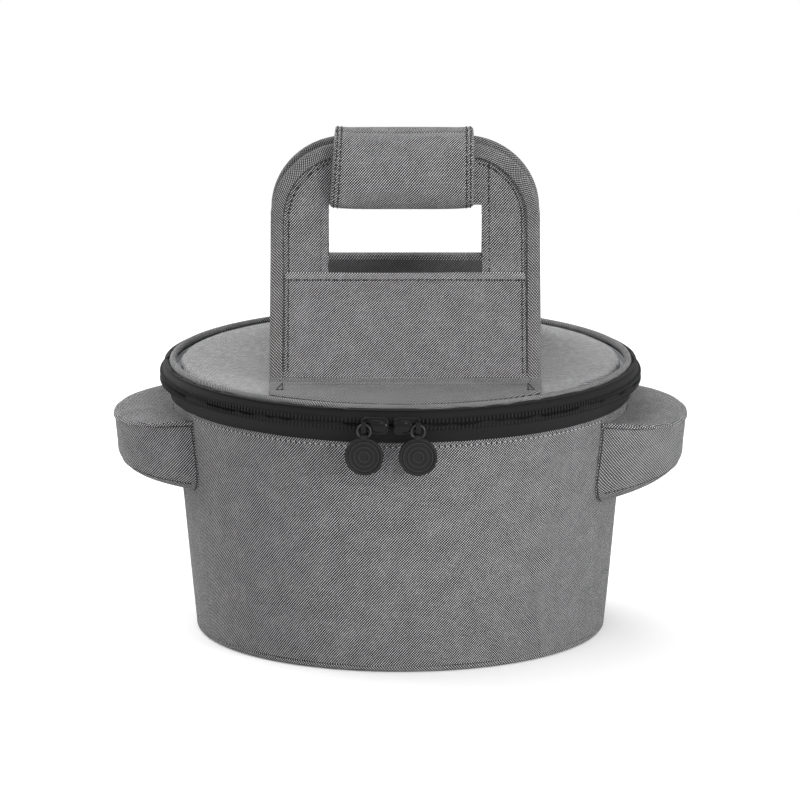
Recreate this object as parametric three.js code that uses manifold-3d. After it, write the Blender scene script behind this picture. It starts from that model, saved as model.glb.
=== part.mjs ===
// Round insulated carrier for a casserole with two lugs: a tapered fabric tub with lug pockets, a zipped lid
// and two handle panels that lean together under a padded grip.
// Millimetres, +Z up, front towards -Y, +X to the right of someone facing the zip sliders.
// The origin is the centre of the foot, on the surface that the carrier stands on.
import * as THREE from "three";
import { mergeVertices } from "three/addons/utils/BufferGeometryUtils.js";
import Module from "manifold-3d";

const wasm = await Module();
wasm.setup();

// Tub
const FOOT_RADIUS = 127;
const RIM_RADIUS = 141.9;
const WALL_TOP = 151;
const WALL_FABRIC = 1.2;
const WALL_FOAM = 5;
const WALL_LINING = 0.8;
const BASE_FABRIC = 1.4;
const BASE_BOARD = 3;
const BASE_LINING = 0.8;
const BASE_PIPING = 2.05; // radius of the round piping in the foot seam
const FLOOR_GAP = 0.3; // the piping hangs this far above the floor
const MOUTH_BINDING = 1.2;
const CLEARANCE = 0.3; // between pieces that lie against each other

// Lug pockets
const LUG_SINK = 23.9; // the D-shaped plan starts this far inside the rim
const LUG_REACH = 60;
const LUG_HALF_WIDTH = 60;
const LUG_ROUNDNESS = 2.6; // exponent of the D-shaped plan
const LUG_BOTTOM = 96.5;
const LUG_TOP = 140;
const LUG_TAPER = 0.24; // share of its height that the pocket loses by its tip
const LUG_EDGE = 9; // rounding of the lower edge
const LUG_FABRIC = 1.6;
const LUG_LIP = 0.5; // the top panel stands proud of the shell by this much
const LUG_MOUTH_HALF_WIDTH = 49;
const LUG_MOUTH_BOTTOM = 104;
const LUG_MOUTH_TOP = 133;

// Zip band
const BAND_BOTTOM = 147.6;
const BAND_TOP = 168.7;
const BAND_TOP_OUT = 2.9; // the band's upper edge stands out from the rim by this much
const ZIP_LEVEL = 160; // height of the line where the two coils meet
const COIL_OUT = 7.1; // the coils' centre line stands out from the rim by this much
const COIL_RADIUS = 1.25;
const TAPE = 1; // thickness of the zip tape
const TAPE_SETBACK = 0.8; // the tape's face lies this far inside the coil's centre line
const BULGE_IN = 0.3; // share of the upper tape's run inwards that it has made at its bulge
const BULGE_UP = 0.6; // share of the upper tape's height at its bulge
const GUSSET_HALF_ANGLE = 30; // degrees each side of the rear

// Lid
const LID_TOP = 170.5;
const LID_FABRIC = 1.3;
const LID_FOAM = 5.7;
const LID_LINING = 0.9;
const LID_LINING_RIM = 4.2; // height of the lining's turned-up edge
const LID_PIPING_WIDTH = 4.6;
const LID_PIPING_SHOULDER = 0.9; // the piping's top narrows by this much on each side
const LID_PIPING_RISE = 0.5; // the piping stands above the lid by this much

// Handles
const HANDLE_SHIFT = 3; // the handles are sewn on this far to the right of the centre
const HANDLE_WIDTH = 166.4;
const HANDLE_CORNER = 47;
const FOLD_DISTANCE = 83; // from the lid's centre line to each fold
const HANDLE_TOP = 308;
const HANDLE_TOP_DISTANCE = 15; // outer face of the bar, from the centre line
const BAR_HEIGHT = 38;
const BAR_LEAN = 8; // degrees
const BEND_RADIUS = 80; // the uprights curve from the panel to the bar
const PANEL = 3; // padded panel
const BINDING_FABRIC = 1;
const BINDING_WIDTH = 9;
const POCKET_FABRIC = 1;
const WINDOW_WIDTH = 96.4;
const WINDOW_SILL = 229;
const WINDOW_CORNER = 2;
const POCKET_HEM = 230.6;
const HANDLE_BASE_FABRIC = 1.2;
const HANDLE_BASE_REACH = 56; // from the fold towards the rim

// Grip
const GRIP_SHIFT = 2;
const GRIP_WIDTH = 89.5;
const GRIP_TOP = 314;
const GRIP_BOTTOM = 266.5;
const GRIP_DEPTH = 26.5; // from the parting plane to the outer face
// Side view of one half of the grip, in shares of its depth from the parting and of its height.
const GRIP_SECTION_SHARES = [
  [0, 0.06],
  [0.18, 0],
  [0.66, 0],
  [0.89, 0.04],
  [1, 0.14],
  [0.98, 0.4],
  [0.915, 0.72],
  [0.79, 0.89],
  [0.575, 0.98],
  [0.36, 1],
  [0, 1],
];
const GRIP_FABRIC = 1.2;
const PARTING_GAP = 1.6; // from the parting plane to each half
const STRIP_GAP = 0.3; // from the parting plane to each hook-and-loop strip
const STRIP_WIDTH = 76;
const STRIP_HEIGHT = 15;
const STRIP_DROP = 5; // below the top of the grip

// Zip sliders and pulls
const ZIP_MEETING_ANGLE = -2.1; // degrees from the front, where the two sliders meet nose to nose
const SLIDER_LENGTH = 17;
const SLIDER_HEIGHT = 11;
const SLIDER_CORNER = 3.7;
const SLIDER_PLATE = 2;
const SLIDER_PARTING = 2.6;
const SLIDER_LIP = 2.2; // height of the lip under the lower coil
const SLIDER_LIP_LENGTH = 8.5;
const BRIDGE_OFFSET = 6.4; // from the slider's middle, away from the meeting point
const BRIDGE_WIDTH = 3;
const BRIDGE_HEIGHT = 7.2;
const BRIDGE_BAR = 0.9;
const RING_RADIUS = 4;
const RING_WIRE = 0.8; // radius of the wire
const RING_RISE = 1.2; // the ring hangs from this far above the zip line
const DISC_RADIUS = 11.75;
const DISC_THICKNESS = 3;
const SLEEVE_RADIUS = 2.1;
const SLEEVE_BORE = 1.3;
const SLEEVE_LENGTH = 3.4;

// Facets
const ROUND_STEPS = 48; // around the carrier
const FINE_STEPS = 16; // around small round pieces
const RING_STEPS = 24; // along the pull ring
const CORNER_STEPS = 8;
const BEND_STEPS = 5;
const LUG_STEPS = 18;
const LUG_EDGE_STEPS = 3;
const SECTOR_STEP = 15; // degrees

const TWILL = { color: 0x777879, roughness: 0.9, metalness: 0 };
const DARK_TWILL = { color: 0x55565a, roughness: 0.9, metalness: 0 };
const LINING = { color: 0xb9bcc0, roughness: 0.45, metalness: 0.1 };
const FOAM = { color: 0xe4e2dc, roughness: 0.95, metalness: 0 };
const BOARD = { color: 0x3c3d40, roughness: 0.8, metalness: 0 };
const ZIP_TAPE = { color: 0x1f1f20, roughness: 0.85, metalness: 0 };
const ZIP_COIL = { color: 0x19191a, roughness: 0.45, metalness: 0 };
const SLIDER_METAL = { color: 0x1b1b1c, roughness: 0.4, metalness: 0.6 };
const RUBBER = { color: 0x222223, roughness: 0.7, metalness: 0 };
const HOOK_AND_LOOP = { color: 0x2a2a2c, roughness: 0.95, metalness: 0 };

const radians = THREE.MathUtils.degToRad;

const coilCentreRadius = RIM_RADIUS + COIL_OUT;
const bandTopRadius = RIM_RADIUS + BAND_TOP_OUT;
const lidRadius = bandTopRadius - TAPE - LID_PIPING_WIDTH - 2 * CLEARANCE;
const lugRoot = RIM_RADIUS - LUG_SINK;

// A closed three.js geometry as a solid that can be joined and cut.
function solid(geometry) {
  const loose = geometry.index ? geometry.toNonIndexed() : geometry.clone();
  const bare = new THREE.BufferGeometry().setAttribute("position", loose.getAttribute("position"));
  const merged = mergeVertices(bare, 1e-4);
  const mesh = new wasm.Mesh({
    numProp: 3,
    vertProperties: merged.attributes.position.array,
    triVerts: new Uint32Array(merged.index.array),
  });
  return new wasm.Manifold(mesh);
}

function geometryOf(body) {
  const { vertProperties, triVerts } = body.getMesh();
  return new THREE.BufferGeometry()
    .setAttribute("position", new THREE.BufferAttribute(new Float32Array(vertProperties), 3))
    .setIndex(new THREE.BufferAttribute(new Uint32Array(triVerts), 1));
}

function piece(name, body, look) {
  const geometry = geometryOf(body);
  geometry.computeVertexNormals();
  const mesh = new THREE.Mesh(geometry, new THREE.MeshStandardMaterial(look));
  mesh.name = name;
  return mesh;
}

// A ring or disc turned about the Z axis from a closed outline of [radius, height] points.
function turned(outline, steps = ROUND_STEPS) {
  const points = outline.map(([radius, height]) => new THREE.Vector2(radius, height));
  if (THREE.ShapeUtils.isClockWise(points)) points.reverse();
  points.push(points[0].clone());
  return solid(new THREE.LatheGeometry(points, steps).rotateX(Math.PI / 2));
}

function disc(radius, bottom, top) {
  const height = top - bottom;
  const cylinder = new THREE.CylinderGeometry(radius, radius, height, ROUND_STEPS);
  return solid(cylinder.rotateX(Math.PI / 2).translate(0, 0, bottom + height / 2));
}

function box(low, high) {
  const size = high.map((value, i) => value - low[i]);
  const middle = high.map((value, i) => (value + low[i]) / 2);
  return solid(new THREE.BoxGeometry(...size).translate(...middle));
}

const ACROSS = new THREE.Matrix4().makeBasis(
  new THREE.Vector3(0, 1, 0),
  new THREE.Vector3(0, 0, 1),
  new THREE.Vector3(1, 0, 0),
);
const FORWARD = new THREE.Matrix4().makeBasis(
  new THREE.Vector3(1, 0, 0),
  new THREE.Vector3(0, 0, 1),
  new THREE.Vector3(0, -1, 0),
);

function shapeOf(points) {
  return new THREE.Shape(points.map(([u, v]) => new THREE.Vector2(u, v)));
}

// A side view of [y, z] points carried from one x to another.
function carriedAcross(points, left, right) {
  const options = { depth: right - left, bevelEnabled: false };
  const geometry = new THREE.ExtrudeGeometry(shapeOf(points), options);
  return solid(geometry.applyMatrix4(ACROSS).translate(left, 0, 0));
}

// A front view, a shape in x and z, carried through the whole depth of the carrier.
function carriedThrough(shape, reach = RIM_RADIUS) {
  const options = { depth: 2 * reach, bevelEnabled: false, curveSegments: CORNER_STEPS };
  const geometry = new THREE.ExtrudeGeometry(shape, options);
  return solid(geometry.applyMatrix4(FORWARD).translate(0, reach, 0));
}

// A wedge about the Z axis, in degrees from the front towards +X, for cutting rings.
function sector(from, to) {
  const steps = Math.max(2, Math.ceil((to - from) / SECTOR_STEP));
  const reach = 2 * RIM_RADIUS;
  const points = [[0, 0]];
  for (let i = 0; i <= steps; i++) {
    const angle = radians(from + ((to - from) * i) / steps);
    points.push([reach * Math.sin(angle), -reach * Math.cos(angle)]);
  }
  const options = { depth: 2 * HANDLE_TOP, bevelEnabled: false };
  return solid(new THREE.ExtrudeGeometry(shapeOf(points), options).translate(0, 0, -HANDLE_TOP));
}

// Radius of the wall's outer face at a height.
function wallRadius(height) {
  return FOOT_RADIUS + ((RIM_RADIUS - FOOT_RADIUS) * height) / WALL_TOP;
}

function wallLayer(inset, thickness, bottom, top) {
  return turned([
    [wallRadius(bottom) - inset - thickness, bottom],
    [wallRadius(bottom) - inset, bottom],
    [wallRadius(top) - inset, top],
    [wallRadius(top) - inset - thickness, top],
  ]);
}

const foamInset = WALL_FABRIC + CLEARANCE;
const liningInset = foamInset + WALL_FOAM + CLEARANCE;
const wallDepth = liningInset + WALL_LINING;
const pipingTop = FLOOR_GAP + 2 * BASE_PIPING;
const boardBottom = BASE_FABRIC + CLEARANCE;
const boardTop = boardBottom + BASE_BOARD;
const wallBottom = Math.max(pipingTop, boardTop) + CLEARANCE;

function roundPiping(radius, centreRadius, centreHeight) {
  const points = [];
  for (let i = 0; i < FINE_STEPS / 2; i++) {
    const angle = (4 * Math.PI * i) / FINE_STEPS;
    points.push([centreRadius + radius * Math.cos(angle), centreHeight + radius * Math.sin(angle)]);
  }
  return turned(points);
}

function lugMouth(side) {
  const inner = side * (lugRoot - LUG_EDGE);
  const outer = side * (RIM_RADIUS + LUG_EDGE);
  return box(
    [Math.min(inner, outer), -LUG_MOUTH_HALF_WIDTH, LUG_MOUTH_BOTTOM],
    [Math.max(inner, outer), LUG_MOUTH_HALF_WIDTH, LUG_MOUTH_TOP],
  );
}

// The solid of a lug pocket on the right, drawn in by an inset, before the tub is cut away from it.
function lugForm(inset, bottom, top) {
  const reach = LUG_REACH - LUG_EDGE;
  const halfWidth = LUG_HALF_WIDTH - LUG_EDGE;
  const edge = LUG_EDGE - inset;
  const points = [];
  for (let i = 0; i <= LUG_STEPS; i++) {
    const angle = -Math.PI / 2 + (Math.PI * i) / LUG_STEPS;
    const along = Math.cos(angle) ** (2 / LUG_ROUNDNESS);
    const across = Math.sign(angle) * Math.abs(Math.sin(angle)) ** (2 / LUG_ROUNDNESS);
    points.push([lugRoot + reach * (i % LUG_STEPS ? along : 0), halfWidth * across]);
  }
  const options = {
    depth: top - bottom,
    bevelEnabled: true,
    bevelSize: edge,
    bevelThickness: edge,
    bevelSegments: LUG_EDGE_STEPS,
  };
  const geometry = new THREE.ExtrudeGeometry(shapeOf(points), options).translate(0, 0, bottom + edge);
  return solid(drawnIn(geometry));
}

// Pockets get lower towards the tip: heights shrink towards the pocket's middle level.
function drawnIn(geometry) {
  const middle = (LUG_BOTTOM + LUG_TOP) / 2;
  const positions = geometry.getAttribute("position");
  for (let i = 0; i < positions.count; i++) {
    const along = (positions.getX(i) - lugRoot) / LUG_REACH;
    const share = 1 - LUG_TAPER * along;
    positions.setZ(i, middle + (positions.getZ(i) - middle) * share);
  }
  return geometry;
}

// A slab wider and longer than the pocket that tapers with it.
function lugSlab(low, high) {
  const geometry = new THREE.BoxGeometry(2 * LUG_REACH, 3 * LUG_HALF_WIDTH, high - low);
  return solid(drawnIn(geometry.translate(lugRoot + LUG_REACH / 2, 0, (high + low) / 2)));
}

const tubEnvelope = turned([
  [0, 0],
  [wallRadius(0) + CLEARANCE, 0],
  [wallRadius(BAND_BOTTOM) + CLEARANCE, BAND_BOTTOM],
  [0, BAND_BOTTOM],
]);

function lugPocket(name, turn) {
  const formTop = 2 * LUG_TOP - LUG_BOTTOM; // well above the pocket, where the slabs trim it
  const panelBottom = LUG_TOP + CLEARANCE;
  const panelTop = panelBottom + LUG_FABRIC;
  const shell = lugForm(0, LUG_BOTTOM, formTop)
    .subtract(lugForm(LUG_FABRIC, LUG_BOTTOM + LUG_FABRIC, formTop))
    .intersect(lugSlab(LUG_BOTTOM - LUG_EDGE, LUG_TOP))
    .subtract(tubEnvelope);
  const panel = lugForm(-LUG_LIP, LUG_BOTTOM, formTop)
    .intersect(lugSlab(panelBottom, panelTop))
    .subtract(tubEnvelope);
  const pocket = new THREE.Group();
  pocket.rotation.z = turn;
  pocket.add(piece(name + "_lug_pocket_shell", shell, TWILL));
  pocket.add(piece(name + "_lug_pocket_top", panel, TWILL));
  return pocket;
}

function tub() {
  const group = new THREE.Group();
  const mouths = lugMouth(1).add(lugMouth(-1));
  const outerWall = wallLayer(0, WALL_FABRIC, wallBottom, WALL_TOP).subtract(mouths);
  const halfGap = THREE.MathUtils.radToDeg(CLEARANCE / 2 / FOOT_RADIUS);
  const foam = wallLayer(foamInset, WALL_FOAM, wallBottom, WALL_TOP).subtract(mouths);
  const lining = wallLayer(liningInset, WALL_LINING, wallBottom, WALL_TOP).subtract(mouths);
  const floorRadius = wallRadius(wallBottom) - wallDepth - CLEARANCE;
  const pipingCentre = FOOT_RADIUS - BASE_PIPING + CLEARANCE;
  const panelRadius = pipingCentre - BASE_PIPING - CLEARANCE;
  const bindingBottom = WALL_TOP + CLEARANCE;
  const binding = turned([
    [RIM_RADIUS - wallDepth, bindingBottom],
    [RIM_RADIUS, bindingBottom],
    [RIM_RADIUS, bindingBottom + MOUTH_BINDING],
    [RIM_RADIUS - wallDepth, bindingBottom + MOUTH_BINDING],
  ]);
  group.add(
    piece("outer_wall_front", outerWall.intersect(sector(-90 + halfGap, 90 - halfGap)), TWILL),
    piece("outer_wall_rear", outerWall.intersect(sector(90 + halfGap, 270 - halfGap)), TWILL),
    piece("wall_foam", foam, FOAM),
    piece("wall_lining", lining, LINING),
    piece("base_panel", disc(panelRadius, 0, BASE_FABRIC), TWILL),
    piece("base_board", disc(floorRadius, boardBottom, boardTop), BOARD),
    piece("base_lining", disc(floorRadius, wallBottom, wallBottom + BASE_LINING), LINING),
    piece("base_piping", roundPiping(BASE_PIPING, pipingCentre, FLOOR_GAP + BASE_PIPING), DARK_TWILL),
    piece("mouth_binding", binding, ZIP_TAPE),
    lugPocket("right", 0),
    lugPocket("left", Math.PI),
  );
  return group;
}

// Side views of the two zip tapes, from the seam on the wall or the lid to the coil.
const tapeEdge = coilCentreRadius - TAPE_SETBACK;
const lowerTapeTop = ZIP_LEVEL - CLEARANCE / 2 - 2 * COIL_RADIUS - CLEARANCE;
const upperTapeBottom = ZIP_LEVEL + CLEARANCE / 2 + 2 * COIL_RADIUS + CLEARANCE;
const seamRadius = wallRadius(BAND_BOTTOM) + CLEARANCE;
const clearOfWall = RIM_RADIUS + CLEARANCE;
const lowerTape = [
  [seamRadius, BAND_BOTTOM],
  [seamRadius + TAPE, BAND_BOTTOM],
  [clearOfWall + TAPE, WALL_TOP + CLEARANCE],
  [tapeEdge, lowerTapeTop],
  [tapeEdge - TAPE, lowerTapeTop],
  [clearOfWall + CLEARANCE, WALL_TOP + MOUTH_BINDING + 2 * CLEARANCE],
  [clearOfWall, WALL_TOP],
];
const upperBulge = [
  tapeEdge - BULGE_IN * (tapeEdge - bandTopRadius),
  upperTapeBottom + BULGE_UP * (BAND_TOP - upperTapeBottom),
];
const upperTape = [
  [tapeEdge - TAPE, upperTapeBottom],
  [tapeEdge, upperTapeBottom],
  upperBulge,
  [bandTopRadius, BAND_TOP],
  [bandTopRadius - TAPE, BAND_TOP - TAPE / 2],
  [upperBulge[0] - TAPE, upperBulge[1] - TAPE / 2],
];

function coil(height) {
  return roundPiping(COIL_RADIUS, coilCentreRadius, height);
}

const gussetGap = THREE.MathUtils.radToDeg((2 * CLEARANCE) / coilCentreRadius);
const gussetSector = sector(180 - GUSSET_HALF_ANGLE, 180 + GUSSET_HALF_ANGLE);
const zipCut = sector(180 - GUSSET_HALF_ANGLE - gussetGap, 180 + GUSSET_HALF_ANGLE + gussetGap);

function lowerZip() {
  const group = new THREE.Group();
  const gussetOutline = [
    ...lowerTape.slice(0, 4),
    ...upperTape.slice(1, 5),
    upperTape[5],
    upperTape[0],
    ...lowerTape.slice(4),
  ];
  group.add(
    piece("lower_zip_tape", turned(lowerTape).subtract(zipCut), ZIP_TAPE),
    piece("lower_zip_coil", coil(ZIP_LEVEL - CLEARANCE / 2 - COIL_RADIUS).subtract(zipCut), ZIP_COIL),
    piece("hinge_gusset", turned(gussetOutline).intersect(gussetSector), ZIP_TAPE),
  );
  return group;
}

const lidFabricBottom = LID_TOP - LID_FABRIC;
const lidFoamTop = lidFabricBottom - CLEARANCE;
const lidFoamBottom = lidFoamTop - LID_FOAM;
const lidLiningTop = lidFoamBottom - CLEARANCE;
const lidLiningBottom = lidLiningTop - LID_LINING;

function lid() {
  const group = new THREE.Group();
  const liningInner = lidRadius + CLEARANCE;
  const lining = turned([
    [0, lidLiningBottom],
    [liningInner + LID_LINING, lidLiningBottom],
    [liningInner + LID_LINING, lidLiningBottom + LID_LINING_RIM],
    [liningInner, lidLiningBottom + LID_LINING_RIM],
    [liningInner, lidLiningTop],
    [0, lidLiningTop],
  ]);
  const pipingInner = lidRadius + CLEARANCE;
  const pipingOuter = pipingInner + LID_PIPING_WIDTH;
  const pipingBottom = lidLiningBottom + LID_LINING_RIM + CLEARANCE;
  const pipingTop = LID_TOP + LID_PIPING_RISE;
  const pipingShoulder = LID_TOP - LID_FABRIC;
  const piping = turned([
    [pipingInner, pipingBottom],
    [pipingOuter, pipingBottom],
    [pipingOuter, pipingShoulder],
    [pipingOuter - LID_PIPING_SHOULDER, LID_TOP],
    [pipingInner + LID_PIPING_WIDTH / 2, pipingTop],
    [pipingInner + LID_PIPING_SHOULDER, LID_TOP],
    [pipingInner, pipingShoulder],
  ]);
  const upperCoil = coil(ZIP_LEVEL + CLEARANCE / 2 + COIL_RADIUS);
  group.add(
    piece("lid_top_panel", disc(lidRadius, lidFabricBottom, LID_TOP), TWILL),
    piece("lid_foam", disc(lidRadius, lidFoamBottom, lidFoamTop), FOAM),
    piece("lid_lining", lining, LINING),
    piece("lid_piping", piping, TWILL),
    piece("upper_zip_tape", turned(upperTape).subtract(zipCut), ZIP_TAPE),
    piece("upper_zip_coil", upperCoil.subtract(zipCut), ZIP_COIL),
    piece("front_handle_base", handleBase(-1), TWILL),
    piece("rear_handle_base", handleBase(1), TWILL),
  );
  return group;
}

// The handles' outer faces in side view: straight from the fold, curved along the uprights,
// straight again at the bar.
const handleBaseBottom = LID_TOP + CLEARANCE;
const foldHeight = handleBaseBottom + HANDLE_BASE_FABRIC;
const handleBottom = handleBaseBottom + CLEARANCE;
const barBottom = HANDLE_TOP - BAR_HEIGHT;
const barLean = radians(BAR_LEAN);
const barFoot = new THREE.Vector2(
  -HANDLE_TOP_DISTANCE - BAR_HEIGHT * Math.tan(barLean),
  barBottom,
);

function upAlong(lean) {
  return new THREE.Vector2(Math.sin(lean), Math.cos(lean));
}

function outwardFrom(lean) {
  return new THREE.Vector2(-Math.cos(lean), Math.sin(lean));
}

const fold = new THREE.Vector2(-FOLD_DISTANCE, foldHeight);
const bendCentre = barFoot.clone().addScaledVector(outwardFrom(barLean), BEND_RADIUS);
const toCentre = bendCentre.clone().sub(fold);
const straightLength = Math.sqrt(toCentre.lengthSq() - BEND_RADIUS ** 2);
const panelLean = Math.atan2(toCentre.x, toCentre.y) + Math.atan2(BEND_RADIUS, straightLength);
const SPARE = 12; // the faces run on past their ends, and the front view trims them

// Points [y, z] of a face of the front handle that lies a depth behind its outer face.
function handleFace(depth) {
  const points = [];
  const start = fold.clone().addScaledVector(upAlong(panelLean), -SPARE);
  points.push(start.addScaledVector(outwardFrom(panelLean), -depth));
  for (let i = 0; i <= BEND_STEPS; i++) {
    const lean = panelLean + ((barLean - panelLean) * i) / BEND_STEPS;
    points.push(bendCentre.clone().addScaledVector(outwardFrom(lean), -BEND_RADIUS - depth));
  }
  const end = barFoot.clone().addScaledVector(upAlong(barLean), BAR_HEIGHT + SPARE);
  points.push(end.addScaledVector(outwardFrom(barLean), -depth));
  return points.map((point) => [point.x, point.y]);
}

// A layer of a handle between two depths; side is -1 for the front handle and 1 for the rear one.
function handleLayer(side, from, to) {
  const outline = [...handleFace(from), ...handleFace(to).reverse()];
  const reach = HANDLE_WIDTH / 2 + SPARE;
  const mirrored = outline.map(([y, z]) => [-side * y, z]);
  return carriedAcross(mirrored, HANDLE_SHIFT - reach, HANDLE_SHIFT + reach);
}

// Front view of a handle panel, drawn in at its sides and top.
function handleOutline(inset) {
  const half = HANDLE_WIDTH / 2 - inset;
  const corner = HANDLE_CORNER - inset;
  const top = HANDLE_TOP - inset;
  const left = HANDLE_SHIFT - half;
  const right = HANDLE_SHIFT + half;
  const shape = new THREE.Shape();
  shape.moveTo(left, handleBottom);
  shape.lineTo(right, handleBottom);
  shape.lineTo(right, top - corner);
  shape.absarc(right - corner, top - corner, corner, 0, Math.PI / 2);
  shape.lineTo(left + corner, top);
  shape.absarc(left + corner, top - corner, corner, Math.PI / 2, Math.PI);
  return carriedThrough(shape);
}

function plainOutline(width, bottom, top) {
  const left = HANDLE_SHIFT - width / 2;
  const right = HANDLE_SHIFT + width / 2;
  return carriedThrough(
    shapeOf([
      [left, bottom],
      [right, bottom],
      [right, top],
      [left, top],
    ]),
  );
}

function windowOutline() {
  const left = HANDLE_SHIFT - WINDOW_WIDTH / 2;
  const right = HANDLE_SHIFT + WINDOW_WIDTH / 2;
  const corner = WINDOW_CORNER;
  const shape = new THREE.Shape();
  shape.absarc(right - corner, WINDOW_SILL + corner, corner, -Math.PI / 2, 0);
  shape.absarc(right - corner, barBottom - corner, corner, 0, Math.PI / 2);
  shape.absarc(left + corner, barBottom - corner, corner, Math.PI / 2, Math.PI);
  shape.absarc(left + corner, WINDOW_SILL + corner, corner, Math.PI, 1.5 * Math.PI);
  return carriedThrough(shape);
}

const panelDepth = BINDING_FABRIC + CLEARANCE;
const handleDepth = 2 * panelDepth + PANEL;

function handlePanel(side) {
  return handleLayer(side, panelDepth, panelDepth + PANEL)
    .intersect(handleOutline(panelDepth))
    .subtract(windowOutline());
}

function handleBinding(side) {
  const groove = handleLayer(side, BINDING_FABRIC, handleDepth - BINDING_FABRIC)
    .intersect(handleOutline(BINDING_FABRIC));
  return handleLayer(side, 0, handleDepth)
    .intersect(handleOutline(0))
    .subtract(handleOutline(BINDING_WIDTH))
    .subtract(groove);
}

function handlePocket(side) {
  const width = HANDLE_WIDTH - 2 * (BINDING_WIDTH + CLEARANCE);
  return handleLayer(side, 0, POCKET_FABRIC).intersect(plainOutline(width, handleBottom, POCKET_HEM));
}

function handleBase(side) {
  const panelFoot = FOLD_DISTANCE + HANDLE_BASE_FABRIC * Math.tan(panelLean);
  const near = side * (panelFoot + CLEARANCE);
  const far = side * (FOLD_DISTANCE + HANDLE_BASE_REACH);
  const half = HANDLE_WIDTH / 2;
  const plate = box(
    [HANDLE_SHIFT - half, Math.min(near, far), handleBaseBottom],
    [HANDLE_SHIFT + half, Math.max(near, far), foldHeight],
  );
  return plate.intersect(disc(lidRadius, handleBaseBottom - CLEARANCE, foldHeight + CLEARANCE));
}

// Side view of the front half of the grip, [y, z], drawn in evenly by an inset.
function gripOutline(inset) {
  const height = GRIP_TOP - GRIP_BOTTOM;
  const depth = GRIP_DEPTH - PARTING_GAP;
  const points = GRIP_SECTION_SHARES.map(([out, up]) => {
    return [PARTING_GAP + out * depth, GRIP_BOTTOM + up * height];
  });
  return inset ? drawnInwards(points, inset) : points;
}

// Moves each side of a counter-clockwise outline inwards and meets the sides again at new corners.
function drawnInwards(points, inset) {
  const count = points.length;
  const lines = points.map(([u, v], i) => {
    const [nextU, nextV] = points[(i + 1) % count];
    const along = new THREE.Vector2(nextU - u, nextV - v).normalize();
    const start = new THREE.Vector2(u - along.y * inset, v + along.x * inset);
    return { start, along };
  });
  return lines.map((line, i) => {
    const before = lines[(i + count - 1) % count];
    const across = before.along.cross(line.along);
    const between = line.start.clone().sub(before.start);
    const distance = between.cross(line.along) / across;
    const corner = before.start.clone().addScaledVector(before.along, distance);
    return [corner.x, corner.y];
  });
}

function gripPrism(side, inset, trim) {
  const half = GRIP_WIDTH / 2 - trim;
  const outline = gripOutline(inset).map(([y, z]) => [side * y, z]);
  return carriedAcross(outline, GRIP_SHIFT - half, GRIP_SHIFT + half);
}

function grip(name, side) {
  const foamInset = GRIP_FABRIC + CLEARANCE;
  const slot = handleLayer(side, -CLEARANCE, handleDepth + CLEARANCE)
    .intersect(plainOutline(HANDLE_WIDTH, barBottom - CLEARANCE, HANDLE_TOP + CLEARANCE));
  const cover = gripPrism(side, 0, 0).subtract(gripPrism(side, GRIP_FABRIC, -SPARE));
  const foam = gripPrism(side, foamInset, foamInset).subtract(slot);
  return [piece(name + "_grip_foam", foam, FOAM), piece(name + "_grip_cover", cover, TWILL)];
}

function gripStrip(side) {
  const near = side * STRIP_GAP;
  const far = side * (PARTING_GAP - CLEARANCE);
  const top = GRIP_TOP - STRIP_DROP;
  return box(
    [GRIP_SHIFT - STRIP_WIDTH / 2, Math.min(near, far), top - STRIP_HEIGHT],
    [GRIP_SHIFT + STRIP_WIDTH / 2, Math.max(near, far), top],
  );
}

function handles() {
  const group = new THREE.Group();
  group.add(
    piece("front_handle_panel", handlePanel(-1), TWILL),
    piece("front_handle_binding", handleBinding(-1), TWILL),
    piece("front_handle_pocket", handlePocket(-1), TWILL),
    ...grip("front", -1),
    piece("grip_hook_strip", gripStrip(-1), HOOK_AND_LOOP),
    piece("rear_handle_panel", handlePanel(1), DARK_TWILL),
    piece("rear_handle_binding", handleBinding(1), TWILL),
    ...grip("rear", 1),
    piece("grip_loop_strip", gripStrip(1), HOOK_AND_LOOP),
  );
  return group;
}

// Slider and pull at the front of the rim; outward is the direction away from the meeting point, -1 or 1.
const plateInner = coilCentreRadius + COIL_RADIUS + CLEARANCE;
const plateOuter = plateInner + SLIDER_PLATE;
const eyeDepth = 2 * (RING_WIRE + 2 * CLEARANCE);
const pullRadius = plateOuter + BRIDGE_BAR + eyeDepth / 2;
const ringTop = ZIP_LEVEL + RING_RISE;
const ringCentre = ringTop - RING_RADIUS;
const sleeveHeight = ringCentre - RING_RADIUS + (SLEEVE_BORE - RING_WIRE) / 2;
const discCentre = sleeveHeight - DISC_RADIUS;

function roundedPlate(width, height, corner) {
  const right = width / 2 - corner;
  const top = height / 2 - corner;
  const shape = new THREE.Shape();
  shape.absarc(right, top, corner, 0, Math.PI / 2);
  shape.absarc(-right, top, corner, Math.PI / 2, Math.PI);
  shape.absarc(-right, -top, corner, Math.PI, 1.5 * Math.PI);
  shape.absarc(right, -top, corner, 1.5 * Math.PI, 2 * Math.PI);
  return shape;
}

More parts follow.
